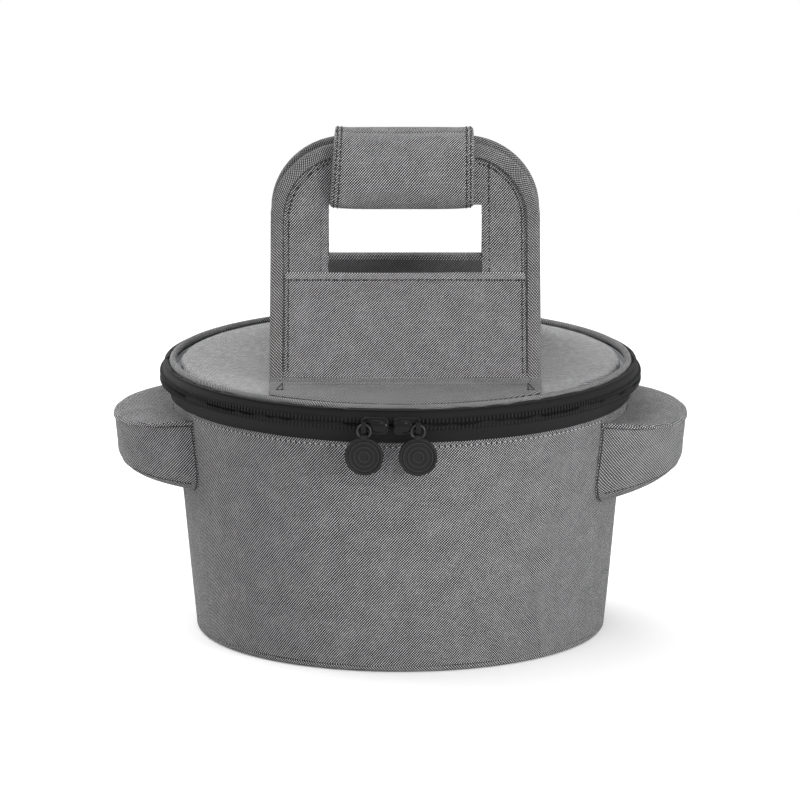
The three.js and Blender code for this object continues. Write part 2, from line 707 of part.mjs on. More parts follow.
function sliderBody(outward) {
  const options = { depth: SLIDER_PLATE, bevelEnabled: false, curveSegments: CORNER_STEPS };
  const shape = roundedPlate(SLIDER_LENGTH, SLIDER_HEIGHT, SLIDER_CORNER);
  const plate = new THREE.ExtrudeGeometry(shape, options).applyMatrix4(FORWARD);
  const lipTop = ZIP_LEVEL - CLEARANCE / 2 - 2 * COIL_RADIUS - CLEARANCE;
  const lip = box(
    [-SLIDER_LIP_LENGTH / 2, -plateInner - SLIDER_PLATE / 2, lipTop - SLIDER_LIP],
    [SLIDER_LIP_LENGTH / 2, -tapeEdge - CLEARANCE, lipTop],
  );
  const bridgeDepth = 2 * BRIDGE_BAR + eyeDepth;
  const middle = outward * BRIDGE_OFFSET;
  const bridge = box(
    [middle - BRIDGE_WIDTH / 2, -plateOuter - bridgeDepth, ZIP_LEVEL - BRIDGE_HEIGHT / 2],
    [middle + BRIDGE_WIDTH / 2, -plateOuter + SLIDER_PLATE / 2, ZIP_LEVEL + BRIDGE_HEIGHT / 2],
  );
  const eyeHalf = BRIDGE_HEIGHT / 2 - BRIDGE_BAR;
  const eye = box(
    [middle - BRIDGE_WIDTH, -pullRadius - eyeDepth / 2, ZIP_LEVEL - eyeHalf],
    [middle + BRIDGE_WIDTH, -pullRadius + eyeDepth / 2, ZIP_LEVEL + eyeHalf],
  );
  return solid(plate.translate(0, -plateInner, ZIP_LEVEL)).add(lip).add(bridge).subtract(eye);
}

function pullRing(middle) {
  const torus = new THREE.TorusGeometry(RING_RADIUS, RING_WIRE, FINE_STEPS / 2, RING_STEPS);
  return solid(torus.rotateX(Math.PI / 2).translate(middle, -pullRadius, ringCentre));
}

function pullDisc(middle) {
  const thickness = DISC_THICKNESS;
  const round = new THREE.CylinderGeometry(DISC_RADIUS, DISC_RADIUS, thickness, 2 * FINE_STEPS);
  const sleeve = new THREE.CylinderGeometry(SLEEVE_RADIUS, SLEEVE_RADIUS, SLEEVE_LENGTH, FINE_STEPS);
  const bore = new THREE.CylinderGeometry(SLEEVE_BORE, SLEEVE_BORE, 2 * SLEEVE_LENGTH, FINE_STEPS);
  const atSleeve = (geometry) =>
    solid(geometry.rotateZ(Math.PI / 2).translate(middle, -pullRadius, sleeveHeight));
  return solid(round.translate(middle, -pullRadius, discCentre))
    .add(atSleeve(sleeve))
    .subtract(atSleeve(bore));
}

function zipPull(name, outward) {
  const spread = THREE.MathUtils.radToDeg((SLIDER_LENGTH + SLIDER_PARTING) / 2 / plateOuter);
  const middle = outward * BRIDGE_OFFSET;
  const group = new THREE.Group();
  group.rotation.z = radians(ZIP_MEETING_ANGLE + outward * spread);
  group.add(
    piece(name + "_zip_slider", sliderBody(outward), SLIDER_METAL),
    piece(name + "_pull_ring", pullRing(middle), SLIDER_METAL),
    piece(name + "_pull_disc", pullDisc(middle), RUBBER),
  );
  return group;
}

const carrier = new THREE.Group();
carrier.add(tub(), lowerZip(), lid(), handles(), zipPull("left", -1), zipPull("right", 1));

export default carrier;
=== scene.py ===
# %% [markdown]
# # A round casserole carrier in grey twill
# This lesson dresses a finished set of solids as sewn fabric. The solids hold the sizes, the joints and the
# places. Here they are loaded once, never moved, and covered piece by piece with cloth, thread, tape and
# foam.

# %% Load the solids
import math
from bisect import bisect
from functools import lru_cache

import bmesh
import bpy
from mathutils import Matrix, Vector, noise


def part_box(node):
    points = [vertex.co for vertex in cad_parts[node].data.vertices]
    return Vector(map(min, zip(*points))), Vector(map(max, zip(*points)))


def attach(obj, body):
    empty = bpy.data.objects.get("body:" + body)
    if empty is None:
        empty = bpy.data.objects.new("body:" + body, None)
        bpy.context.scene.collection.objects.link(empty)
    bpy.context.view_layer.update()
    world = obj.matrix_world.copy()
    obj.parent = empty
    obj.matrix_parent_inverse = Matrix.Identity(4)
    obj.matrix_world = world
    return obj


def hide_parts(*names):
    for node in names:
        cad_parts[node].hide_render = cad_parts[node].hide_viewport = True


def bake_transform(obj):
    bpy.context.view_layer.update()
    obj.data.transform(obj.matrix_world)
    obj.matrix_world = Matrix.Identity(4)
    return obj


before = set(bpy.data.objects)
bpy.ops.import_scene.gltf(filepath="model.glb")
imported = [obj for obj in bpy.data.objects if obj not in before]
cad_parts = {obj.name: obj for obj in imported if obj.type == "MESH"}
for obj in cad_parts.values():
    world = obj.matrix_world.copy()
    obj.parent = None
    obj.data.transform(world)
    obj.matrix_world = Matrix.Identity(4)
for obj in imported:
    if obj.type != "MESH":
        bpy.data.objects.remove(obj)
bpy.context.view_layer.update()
MM = 0.001
print("solids loaded:", len(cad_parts))

# %% [markdown]
# ## Camera
# The carrier was photographed from the front, a little above its lid, with a long lens: its left and right
# edges hardly converge. A camera five metres away with a lens of about 360 mm gives that flat look. The aim
# and the lens were found by matching the outline of the solids to the picture.

# %% Camera
VIEW_ELEVATION = math.radians(12.65)
VIEW_DISTANCE = 5.0
VIEW_TARGET = Vector((-0.00025, 0, 0.1422))
FOCAL_LENGTH = 361.6
SENSOR_WIDTH = 36
FAR_CLIP = 50

towards_camera = Vector((0, -math.cos(VIEW_ELEVATION), math.sin(VIEW_ELEVATION)))
lens = bpy.data.cameras.new("camera")
lens.lens = FOCAL_LENGTH
lens.sensor_width = SENSOR_WIDTH
lens.clip_end = FAR_CLIP
camera = bpy.data.objects.new("camera", lens)
camera.location = VIEW_TARGET + VIEW_DISTANCE * towards_camera
camera.rotation_mode = "QUATERNION"
camera.rotation_quaternion = (-towards_camera).to_track_quat("-Z", "Y")
bpy.context.scene.collection.objects.link(camera)
bpy.context.scene.camera = camera
bpy.context.scene.view_settings.view_transform = "Standard"
print("camera at", [round(x, 3) for x in camera.location])

# %% [markdown]
# ## Writing shaders as sums
# A weave is arithmetic on a position. Written node by node it would fill pages, so a small class wraps a
# node's socket and lets Python's own operators add the Math nodes. Every other node comes from one method,
# `node`, whose inputs are named, or numbered as `i0` and `i1` where two share a name.


# %% A socket with operators
class Wire:
    def __init__(self, tree, socket=None):
        self.tree = tree
        self.socket = socket

    def node(self, kind, settings=None, output=0, **inputs):
        made = self.tree.nodes.new("ShaderNode" + kind)
        for name, value in (settings or {}).items():
            setattr(made, name, value)
        for name, value in inputs.items():
            key = int(name[1:]) if name[0] == "i" and name[1:].isdigit() else name.replace("_", " ")
            self.plug(made.inputs[key], value)
        return Wire(self.tree, made.outputs[output])

    def plug(self, socket, value):
        if isinstance(value, Wire):
            self.tree.links.new(value.socket, socket)
        elif hasattr(value, "__len__") and len(value) == 3 and socket.type == "RGBA":
            socket.default_value = (*value, 1)
        else:
            socket.default_value = value

    def math(self, operation, other=0.0, first=None):
        start = self if first is None else first
        return self.node("Math", {"operation": operation}, i0=start, i1=other)

    def __add__(self, other):
        return self.math("ADD", other)

    def __sub__(self, other):
        return self.math("SUBTRACT", other)

    def __rsub__(self, other):
        return self.math("SUBTRACT", self, first=other)

    def __mul__(self, other):
        return self.math("MULTIPLY", other)

    __radd__ = __add__
    __rmul__ = __mul__

    def wave(self, sharpness=1.0, lift=0.5):
        swing = self.math("SINE") * (0.5 * sharpness) + lift
        return swing.node("Clamp", i0=swing)

    def mixed(self, low, high):
        return self.node("Mix", {"data_type": "RGBA"}, output=2, i0=self, i6=low, i7=high)


print("shader arithmetic is ready")

# %% [markdown]
# ## One way to start every finish
# A finish is a material whose Principled shader is filled in by a recipe: a function that is given the
# empty tree and returns colour, roughness and relief. Relief goes through a Bump node, with its height in
# metres. Values that are the same all over the cloth, such as sheen, are set straight on the shader.

# %% Finishes
FINISHES = {}


def finish(name, recipe, slot, **constants):
    material = bpy.data.materials.new(name)
    material.use_nodes = True
    tree = material.node_tree
    shader = tree.nodes["Principled BSDF"]
    wire = Wire(tree)
    for socket, value in constants.items():
        shader.inputs[socket.replace("_", " ")].default_value = value
    made = recipe(wire)
    wire.plug(shader.inputs["Base Color"], made["colour"])
    wire.plug(shader.inputs["Roughness"], made["roughness"])
    bump = wire.node("Bump", Distance=made["depth"], Height=made["relief"])
    wire.plug(shader.inputs["Normal"], bump)
    material["slot"] = slot
    FINISHES[name] = material
    return material


def speckle(wire, place, size, detail=2.0):
    """Noise from 0 to 1 whose spots are about a size across, in metres."""
    return wire.node("TexNoise", Vector=place, Scale=1 / size, Detail=detail)


def grey(value):
    """A grey that leans a little to the cool side."""
    return (value, value, value * 1.015)


print("finishes are written as recipes")

# %% [markdown]
# ## The twill
# The carrier's cloth is a heather twill: light and dark yarns that cross two by two, so that fine light
# lines climb to the right about every 1.2 mm. A picture of cloth would repeat and blur, so the weave is
# worked out from the cloth's own map, in metres, which carries the lines round each piece. Two waves make
# them: one across the lines and a weaker one along them, where the yarns dip. Noise adds loose fibres and
# faint clouds.

# %% Twill
TWILL_PITCH = 1.24 * MM
TWILL_ANGLE = math.radians(48)
YARN_PITCH = 1.1 * MM
FULL_TURN = 2 * math.pi
CLOUD = 14 * MM
MOTTLE = 3.5 * MM
FIBRE = 0.7 * MM
LINE_SHAPE = (5, -0.27)
YARN_SHAPE = (3, 0.45)
WEAVE_RELIEF = 0.25 * MM


def cloth_map(wire):
    """The cloth's own map in metres, and its parts across and up."""
    place = wire.node("UVMap", {"uv_map": "cloth"})
    across = wire.node("SeparateXYZ", i0=place)
    return place, across, Wire(wire.tree, across.socket.node.outputs[1])


def twill(light, dark, lean=1, fleck=0.12):
    """A recipe for twill between two tones, whose lines lean to the right or, with -1, to the left."""

    def recipe(wire):
        place, across, up = cloth_map(wire)
        slope = across * math.sin(TWILL_ANGLE) - up * (lean * math.cos(TWILL_ANGLE))
        along = across * math.cos(TWILL_ANGLE) + up * (lean * math.sin(TWILL_ANGLE))
        patchy = speckle(wire, place, CLOUD)
        fibre = speckle(wire, place, FIBRE, 3.0)
        mottle = speckle(wire, place, MOTTLE)
        line = (slope * (FULL_TURN / TWILL_PITCH) + patchy).wave(*LINE_SHAPE)
        yarn = (along * (FULL_TURN / YARN_PITCH) + fibre).wave(*YARN_SHAPE)
        weave = line * (yarn * 0.9 + 0.1)
        tone = weave + fibre * 0.25 + mottle * fleck + patchy * 0.16 - (0.2 + fleck / 2)
        return {
            "colour": tone.node("Clamp", i0=tone).mixed(dark, light),
            "roughness": weave * -0.08 + 0.92,
            "relief": weave + fibre * 0.4,
            "depth": WEAVE_RELIEF,
        }

    return recipe


print("twill lines every", round(TWILL_PITCH / MM, 2), "mm")

# %% Shades of twill
TWILLS = {
    "grey_twill": (0.86, 0.008, {}),
    "bias_twill": (0.86, 0.01, {"lean": -1}),
    "pocket_twill": (0.68, 0.06, {"lean": -1}),
    "facing_twill": (0.5, 0.04, {}),
    # highlit_hem_twill: painted highlight, a lighter twill for the upward-facing folds of the hems and sills
    "highlit_hem_twill": (0.92, 0.04, {}),
    # edge_twill_and_foot_shade: the binding's real darker twill, also laid on the feet as painted shade from
    # the fold
    "edge_twill_and_foot_shade": (0.64, 0.035, {}),
    # lit_grip_twill: painted light, the twill made lighter for the light that the rounded grip catches
    "lit_grip_twill": (0.92, 0.01, {}),
    # lit_lid_twill: painted light, the same twill made lighter for the light and sheen on the lid's top
    "lit_lid_twill": (0.95, 0.12, {"fleck": 0.45}),
}
for name, (light, dark, options) in TWILLS.items():
    recipe = twill(grey(light), grey(dark), **options)
    finish(name, recipe, "twill", Sheen_Weight=0.05, Specular_IOR_Level=0.2)
print("twill finishes:", list(FINISHES))

# %% [markdown]
# ## Tape, coil, thread, lining, metal and rubber
# The other finishes are quieter. Zip tape has a fine crosswise rib, the lining is a coated cloth with a
# soft shine and small creases, and the black metal and rubber differ mostly in how they take the light. The
# ribs follow the cloth map, as the twill does. The rest is noise on the place in space, because it has no
# direction.

# %% Tape and lining
RIB_ACROSS = 0.8 * MM
RIB_ALONG = 1.1 * MM
RIB_RELIEF = 0.1 * MM
CREASE = 28 * MM
CREASE_RELIEF = 1.6 * MM


def zip_tape(wire):
    place, across, up = cloth_map(wire)
    rib = (across * (FULL_TURN / RIB_ACROSS)).wave() * (up * (FULL_TURN / RIB_ALONG)).wave()
    lint = speckle(wire, place, 1.5 * MM, 4.0)
    return {
        "colour": (rib * 0.5 + lint * 0.5).mixed((0.004, 0.004, 0.0042), (0.016, 0.016, 0.0165)),
        "roughness": lint * 0.15 + 0.75,
        "relief": rib,
        "depth": RIB_RELIEF,
    }


def creased_lining(wire):
    place = wire.node("TexCoord", output=3)
    crease = speckle(wire, place, CREASE, 3.0)
    grain = speckle(wire, place, 0.8 * MM)
    return {
        # The colour follows the crease height: painted shade, darker in the creases' hollows.
        "colour": (crease * 0.7 + grain * 0.3).mixed((0.36, 0.37, 0.385), (0.56, 0.57, 0.59)),
        "roughness": crease * 0.2 + 0.32,
        "relief": crease + grain * 0.03,
        "depth": CREASE_RELIEF,
    }


finish("black_tape", zip_tape, "zip_tape", Sheen_Weight=0.02, Specular_IOR_Level=0.2)
finish("silver_lining", creased_lining, "lining", Sheen_Weight=0.05)
print("tape and lining are ready")


# %% Coil, thread, metal and rubber
def speckled(low, high, roughness, size, depth):
    """A recipe for a fine speckle between two greys, with its size and relief in millimetres."""

    def recipe(wire):
        place = wire.node("TexCoord", output=3)
        grain = speckle(wire, place, size * MM, 4.0)
        return {
            "colour": grain.mixed(grey(low), grey(high)),
            "roughness": grain * 0.12 + roughness,
            "relief": grain,
            "depth": depth * MM,
        }

    return recipe


SPECKLED = {
    "black_coil": ("zip_coil", (0.005, 0.012, 0.42, 1.2, 0.05), {"Specular_IOR_Level": 0.18}),
    "black_metal": ("slider_metal", (0.004, 0.007, 0.09, 3, 0.01), {"Specular_IOR_Level": 0.16}),
    "bright_wire": ("slider_metal", (0.024, 0.05, 0.28, 2, 0.05), {"Metallic": 0.8}),
    "black_rubber": ("pull_rubber", (0.008, 0.014, 0.5, 1.5, 0.05), {"Specular_IOR_Level": 0.22}),
    # highlit_ridge_rubber: painted highlight, a lighter rubber for the light on the pulls' raised circles
    "highlit_ridge_rubber": ("pull_rubber", (0.016, 0.025, 0.45, 1.5, 0.05), {"Specular_IOR_Level": 0.3}),
    # dark_thread_and_seam_shade: the stitches' thread, also darkened so that the dense rows at the pockets'
    # roots give the painted shade of the seam gap
    "dark_thread_and_seam_shade": ("twill", (0.014, 0.05, 0.7, 0.25, 0.08), {}),
    "light_thread": ("twill", (0.35, 0.6, 0.7, 0.25, 0.08), {}),
    "hook_tape": ("hook_and_loop", (0.012, 0.06, 0.9, 0.9, 0.4), {}),
}
for name, (slot, grain, constants) in SPECKLED.items():
    finish(name, speckled(*grain), slot, **constants)
print("finishes:", len(FINISHES))

# %% [markdown]
# ## Cloth as a grid that is laid in place
# Each fabric piece starts as a flat grid, as cloth does. A `lay` function then says where a point of the
# cloth goes, from its share of the width and of the height. The grid keeps its flat map, written in metres,
# so that the weave runs along the cloth wherever it is bent. A Solidify modifier gives the cloth its
# thickness.


# %% Selecting and finishing a piece
def deselect():
    if bpy.context.mode != "OBJECT":
        bpy.ops.object.mode_set(mode="OBJECT")
    bpy.ops.object.select_all(action="DESELECT")


def pick(piece):
    deselect()
    bpy.context.view_layer.objects.active = piece
    piece.select_set(True)


def apply_modifiers(piece):
    pick(piece)
    for modifier in list(piece.modifiers):
        bpy.ops.object.modifier_apply(modifier=modifier.name)


def smooth(piece, angle=40):
    pick(piece)
    bpy.ops.object.shade_smooth_by_angle(angle=math.radians(angle))


def thicken(piece, thickness):
    """Gives a sheet its thickness, inwards from the face that shows."""
    modifier = piece.modifiers.new("thickness", "SOLIDIFY")
    modifier.thickness = thickness
    modifier.offset = -1
    modifier.use_even_offset = False
    apply_modifiers(piece)
    smooth(piece)


def mapped(piece, rule):
    """Writes the piece's cloth map, in metres, from each corner's place and normal."""
    mesh = piece.data
    layer = mesh.uv_layers.get("cloth") or mesh.uv_layers.new(name="cloth")
    for face in mesh.polygons:
        for corner in face.loop_indices:
            place = mesh.vertices[mesh.loops[corner].vertex_index].co
            layer.data[corner].uv = rule(place, face.normal)


print("pieces can be thickened, smoothed and mapped")


# %% Sheets of cloth
def cloth(name, columns, rows, size, lay, thickness=0):
    """A grid of cloth of a flat size, laid where lay(across, up) says, with shares from 0 to 1."""
    deselect()
    bpy.ops.mesh.primitive_grid_add(x_subdivisions=columns, y_subdivisions=rows, size=1)
    piece = bpy.context.object
    piece.name = piece.data.name = name
    layer = piece.data.uv_layers.active
    layer.name = "cloth"
    for corner in layer.data:
        corner.uv = (corner.uv[0] * size[0], corner.uv[1] * size[1])
    for vertex in piece.data.vertices:
        vertex.co = lay(vertex.co.x + 0.5, vertex.co.y + 0.5)
    if thickness:
        thicken(piece, thickness)
    else:
        smooth(piece)
    return piece


def dress(piece, look, body, *nodes):
    """Gives a piece its finish, the body that it rides on and the solids that it stands for."""
    piece.data.materials.clear()
    piece.data.materials.append(FINISHES[look])
    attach(piece, body)
    if nodes:
        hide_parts(*nodes)
    print(piece.name, "rides on", body, "with", len(piece.data.polygons), "faces")
    return piece


def second_finish(piece, look, chosen):
    """Gives the chosen faces of a dressed piece another finish."""
    piece.data.materials.append(FINISHES[look])
    for face in piece.data.polygons:
        face.material_index = 1 if chosen(face) else 0


def round_place(radius, angle, height):
    """A point at an angle from the front, in radians towards the right."""
    return Vector((radius * math.sin(angle), -radius * math.cos(angle), height))


SEED_STEP = (7.3, 3.1, 5.7)


def soft(place, size, seed=0):
    """Smooth unevenness from -1 to 1 with waves of about a size, the same at every run."""
    return noise.noise(Vector(place) / size + Vector([seed * step for step in SEED_STEP]))


print("cloth can be laid and dressed")

# %% [markdown]
# ## Thread
# Seams show as rows of short dark stitches. A texture of stitches would not follow the bends, so one stitch
# is modelled, a rounded grain of thread with few faces, and copied along a line of points. Each row is one
# piece, so that it rides with the cloth that it holds.

# %% One stitch
STITCH_LENGTH = 2.3 * MM
THREAD = 0.45 * MM


def rounded_grain(size, segments, rings):
    """The mesh of a small grain whose half sizes are given, to be copied many times."""
    deselect()
    bpy.ops.mesh.primitive_uv_sphere_add(segments=segments, ring_count=rings, radius=1)
    ball = bpy.context.object
    bpy.ops.object.mode_set(mode="EDIT")
    bpy.ops.mesh.select_all(action="SELECT")
    bpy.ops.transform.resize(value=size)
    bpy.ops.object.mode_set(mode="OBJECT")
    mesh = ball.data
    bpy.data.objects.remove(ball)
    return mesh


STITCH = rounded_grain((THREAD, THREAD, STITCH_LENGTH / 2), 6, 4)
print("a stitch has", len(STITCH.polygons), "faces")


# %% Rows of stitches
def along(points, pitch):
    """Places at even steps along a line of points, each with the line's direction there."""
    places = []
    spare = pitch / 2
    for start, end in zip(points, points[1:]):
        step = end - start
        while spare <= step.length:
            places.append((start + step.normalized() * spare, step.normalized()))
            spare += pitch
        spare -= step.length
    return places


def scattered(name, pattern, matrices):
    """One piece made of copies of a mesh, one at each matrix."""
    build = bmesh.new()
    for matrix in matrices:
        first = len(build.verts)
        build.from_mesh(pattern)
        build.verts.ensure_lookup_table()
        bmesh.ops.transform(build, matrix=matrix, verts=build.verts[first:])
    mesh = bpy.data.meshes.new(name)
    build.to_mesh(mesh)
    build.free()
    for face in mesh.polygons:
        face.use_smooth = True
    piece = bpy.data.objects.new(name, mesh)
    bpy.context.scene.collection.objects.link(piece)
    return piece


def stitches(name, lines, body, pitch, look="dark_thread_and_seam_shade", bold=1.0):
    """Rows of stitches along lines of points that lie on the cloth."""
    fatter = Matrix.Diagonal((bold, bold, 1, 1))
    matrices = []
    for points in lines:
        for place, direction in along([Vector(p) for p in points], pitch):
            turn = direction.to_track_quat("Z", "Y").to_matrix().to_4x4()
            matrices.append(Matrix.Translation(place) @ turn @ fatter)
    return dress(scattered(name, STITCH, matrices), look, body)


print("stitches are", round(STITCH_LENGTH / MM, 1), "mm long")

# %% [markdown]
# ## The tub
# The tub is a cone of padded wall: twill outside, foam, and a wipe-clean lining. It is sewn from a front
# and a rear half that meet under the lug pockets. A cylinder could be tapered to this shape, but a grid
# keeps the weave's map flat. Where a pocket opens into the tub, the wall has a mouth, so faces are found by
# their place and deleted. Slow waves of half a millimetre make the wall cloth, not tin.

# %% The tub's sizes
foot_low, foot_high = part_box("base_piping")
rim_low, rim_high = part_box("mouth_binding")
wall_low, wall_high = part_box("outer_wall_front")
FOOT_RADIUS = 127 * MM
RIM_RADIUS = rim_high.x
WALL_TUCK = 0.9 * MM
WALL_FOOT = wall_low.z - WALL_TUCK
WALL_TOP = wall_high.z
MOUTH_HALF_ANGLE = math.radians(20.625)
MOUTH_BOTTOM = 104 * MM
MOUTH_TOP = 133 * MM
SOFT_WAVE = 0.45 * MM
WAVE_SIZE = 55 * MM
WAVE_FADE = 12 * MM
HALF_COLUMNS = 96
WALL_ROWS = [WALL_FOOT, MOUTH_BOTTOM, MOUTH_TOP, WALL_TOP]
ROWS_BETWEEN = [17, 5, 3]


def wall_radius(height):
    return FOOT_RADIUS + (RIM_RADIUS - FOOT_RADIUS) * height / WALL_TOP


def stepped(share, levels, counts):
    """A value at a share of evenly spaced steps, with its own number of steps between each two levels."""
    step = share * sum(counts)
    for low, high, count in zip(levels, levels[1:], counts):
        if step <= count + 1e-6:
            return low + (high - low) * step / count
        step -= count
    return levels[-1]


print("wall from", round(WALL_FOOT / MM, 1), "to", round(WALL_TOP / MM, 1), "mm up")


# %% Cutting a sheet
def cut_faces(piece, inside):
    """Deletes the faces whose middle is inside."""
    build = bmesh.new()
    build.from_mesh(piece.data)
    gone = [face for face in build.faces if inside(face.calc_center_median())]
    bmesh.ops.delete(build, geom=gone, context="FACES")
    build.to_mesh(piece.data)
    build.free()
    print(piece.name, "lost", len(gone), "faces")


def in_mouth(place):
    turn = math.atan2(abs(place.y), abs(place.x))
    return turn < MOUTH_HALF_ANGLE and MOUTH_BOTTOM < place.z < MOUTH_TOP


print("each mouth spans", round(math.degrees(2 * MOUTH_HALF_ANGLE), 1), "degrees")

# %% Walls and lining
WALL_FABRIC = 1.2 * MM
LINING_INSET = 6.8 * MM
LINING_FABRIC = 0.8 * MM
SEAM_GAP = 0.2 * MM


def wall_sheet(name, middle, span, inset, thickness):
    columns = round(HALF_COLUMNS * span / math.pi)

    def lay(across, up):
        height = stepped(up, WALL_ROWS, ROWS_BETWEEN)
        angle = middle + span * (across - 0.5)
        on_wall = round_place(wall_radius(height), angle, height)
        fade = min(1, (height - WALL_FOOT) / WAVE_FADE, (WALL_TOP - height) / WAVE_FADE)
        wave = SOFT_WAVE * max(0, fade) * soft(on_wall, WAVE_SIZE)
        return round_place(wall_radius(height) - inset + wave, angle, height)

    size = (span * wall_radius(WALL_TOP / 2), WALL_TOP - WALL_FOOT)
    piece = cloth(name, columns, sum(ROWS_BETWEEN), size, lay)
    cut_faces(piece, in_mouth)
    thicken(piece, thickness)
    return piece


half_turn = math.pi - SEAM_GAP / FOOT_RADIUS
front_wall = wall_sheet("tub_wall_front", 0, half_turn, 0, WALL_FABRIC)
dress(front_wall, "grey_twill", "tub", "outer_wall_front", "wall_foam")
rear_wall = wall_sheet("tub_wall_rear", math.pi, half_turn, 0, WALL_FABRIC)
dress(rear_wall, "grey_twill", "tub", "outer_wall_rear")
lining = wall_sheet("tub_lining", 0, FULL_TURN, LINING_INSET, LINING_FABRIC)
dress(lining, "silver_lining", "tub", "wall_lining")

# %% [markdown]
# ## Foot, floor and rim
# The foot is a round piping in the seam between wall and base. The base is a stiffened disc with the lining
# inside, and the rim is bound in black tape that only shows when the lid is open. A torus and two cylinders
# would come close, but all are turned shapes, so one helper spins an outline about the upright axis.

# %% Turning an outline
ROUND_STEPS = 160
MERGE = 0.02 * MM


def turned(name, outline, steps=ROUND_STEPS):
    """Spins a closed outline of (radius, height) points about the upright axis."""
    deselect()
    bpy.ops.mesh.primitive_circle_add(vertices=len(outline), radius=1)
    piece = bpy.context.object
    piece.name = piece.data.name = name
    for vertex, (radius, height) in zip(piece.data.vertices, outline):
        vertex.co = (radius, 0, height)
    bpy.ops.object.mode_set(mode="EDIT")
    bpy.ops.mesh.select_all(action="SELECT")
    bpy.ops.mesh.spin(steps=steps, angle=FULL_TURN, center=(0, 0, 0), axis=(0, 0, 1))
    bpy.ops.mesh.select_all(action="SELECT")
    bpy.ops.mesh.remove_doubles(threshold=MERGE)
    bpy.ops.mesh.normals_make_consistent(inside=False)
    bpy.ops.object.mode_set(mode="OBJECT")
    smooth(piece)
    return piece


def oval_outline(middle, half_width, half_height, points):
    turns = [FULL_TURN * i / points for i in range(points)]
    return [(middle[0] + half_width * math.cos(a), middle[1] + half_height * math.sin(a)) for a in turns]


def ring_map(centre_radius, centre_height, thickness):
    """Cloth map of a ring: length round it, and length over its section."""

    def rule(place, normal):
        out = math.hypot(place.x, place.y) - centre_radius
        over = math.atan2(place.z - centre_height, out)
        return (math.atan2(place.x, -place.y) * centre_radius, over * thickness / 2)

    return rule


def flat_map(place, normal):
    return (place.x, place.y)


print("turned pieces have", ROUND_STEPS, "steps")

# %% Foot and base
BASE_EDGE = 0.7 * MM
FLOOR_EDGE = 0.4 * MM
PIPING_RADIUS = (foot_high.z - foot_low.z) / 2
foot_middle = (foot_high.x - PIPING_RADIUS, foot_low.z + PIPING_RADIUS)
foot = turned("foot_piping", oval_outline(foot_middle, PIPING_RADIUS, PIPING_RADIUS, 14))
mapped(foot, ring_map(*foot_middle, 2 * PIPING_RADIUS))
dress(foot, "bias_twill", "tub", "base_piping")


def plate_outline(node, edge):
    """Half section of a round plate with a soft edge, from the axis outwards."""
    low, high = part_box(node)
    turns = [math.pi * i / 6 - math.pi / 2 for i in range(7)]
    middle = (low.z + high.z) / 2
    half = (high.z - low.z) / 2
    rim = [(high.x - edge + edge * math.cos(a), middle + half * math.sin(a)) for a in turns]
    return [(0, low.z), (high.x * 0.5, low.z), *rim, (high.x * 0.5, high.z), (0, high.z)]


base = turned("base_panel_cloth", plate_outline("base_panel", BASE_EDGE))
mapped(base, flat_map)
dress(base, "facing_twill", "tub", "base_panel", "base_board")
floor_lining = turned("floor_lining", plate_outline("base_lining", FLOOR_EDGE))
dress(floor_lining, "silver_lining", "tub", "base_lining")

# %% Rim
RIM_TAPE = 7.6 * MM
RIM_INNER = RIM_RADIUS - RIM_TAPE
rim_middle = (rim_low.z + rim_high.z) / 2
rim_half = (rim_high.z - rim_low.z) / 2
rim_turns = [math.pi * i / 5 for i in range(6)]
rim_outline = []
for a in rim_turns:
    rim_outline.append((RIM_RADIUS - rim_half * (1 - math.sin(a)), rim_middle - rim_half * math.cos(a)))
for a in rim_turns:
    rim_outline.append((RIM_INNER + rim_half * (1 - math.sin(a)), rim_middle + rim_half * math.cos(a)))
rim = turned("rim_tape", rim_outline)
mapped(rim, ring_map(RIM_RADIUS - RIM_TAPE / 2, rim_middle, RIM_TAPE))
dress(rim, "black_tape", "tub", "mouth_binding")

# %% [markdown]
# ## Lug pockets
# On each side a soft D-shaped pocket takes one lug of the casserole. Its shell is one cloth that runs down
# the side, round a soft lower edge and back to the wall, and a second cloth closes the top. A bevelled
# block would look hard and lose the weave's direction, so both are grids again: the outline is followed
# across, and the section from the top seam to the wall is followed upwards.

# %% The pocket's outline
LUG_ROOT = RIM_RADIUS - 23.9 * MM
LUG_EDGE = 9 * MM
LUG_REACH = 60 * MM
LUG_HALF_WIDTH = 60 * MM
LUG_POWER = 2 / 2.6
LUG_BOTTOM = 96.5 * MM
LUG_TOP = 140 * MM
LUG_TAPER = 0.24
LUG_LOW_TAPER = 0.42
LUG_LOW_EDGE = 16 * MM
WALL_GAP = 0.3 * MM


def lug_core(turn, wide):
    """The D-shaped line that the soft edge is rolled around, on the right-hand pocket."""
    reach = max(0.0, math.cos(turn)) ** LUG_POWER
    side = math.copysign(abs(math.sin(turn)) ** LUG_POWER, turn)
    half = wide if turn < 0 else LUG_HALF_WIDTH
    return Vector((LUG_ROOT + (LUG_REACH - LUG_EDGE) * reach, (half - LUG_EDGE) * side, 0))


def lug_point(turn, inset, wide):
    """A point of the pocket's outline, drawn in by an inset."""
    step = 0.02
    line = lug_core(min(turn + step, math.pi / 2), wide) - lug_core(max(turn - step, -math.pi / 2), wide)
    outwards = Vector((line.y, -line.x, 0)).normalized()
    return lug_core(turn, wide) + outwards * (LUG_EDGE - inset)


def lug_drawn_in(place):
    """Pockets get lower towards the tip, so heights shrink towards the middle level."""
    middle = (LUG_BOTTOM + LUG_TOP) / 2
    taper = LUG_TAPER if place.z > middle else LUG_LOW_TAPER
    share = 1 - taper * (place.x - LUG_ROOT) / LUG_REACH
    return Vector((place.x, place.y, middle + (place.z - middle) * share))


print("a pocket reaches", round(lug_point(0, 0, LUG_HALF_WIDTH).x / MM, 1), "mm from the axis")

# %% Where the outline meets the wall
WALK_STEPS = 120


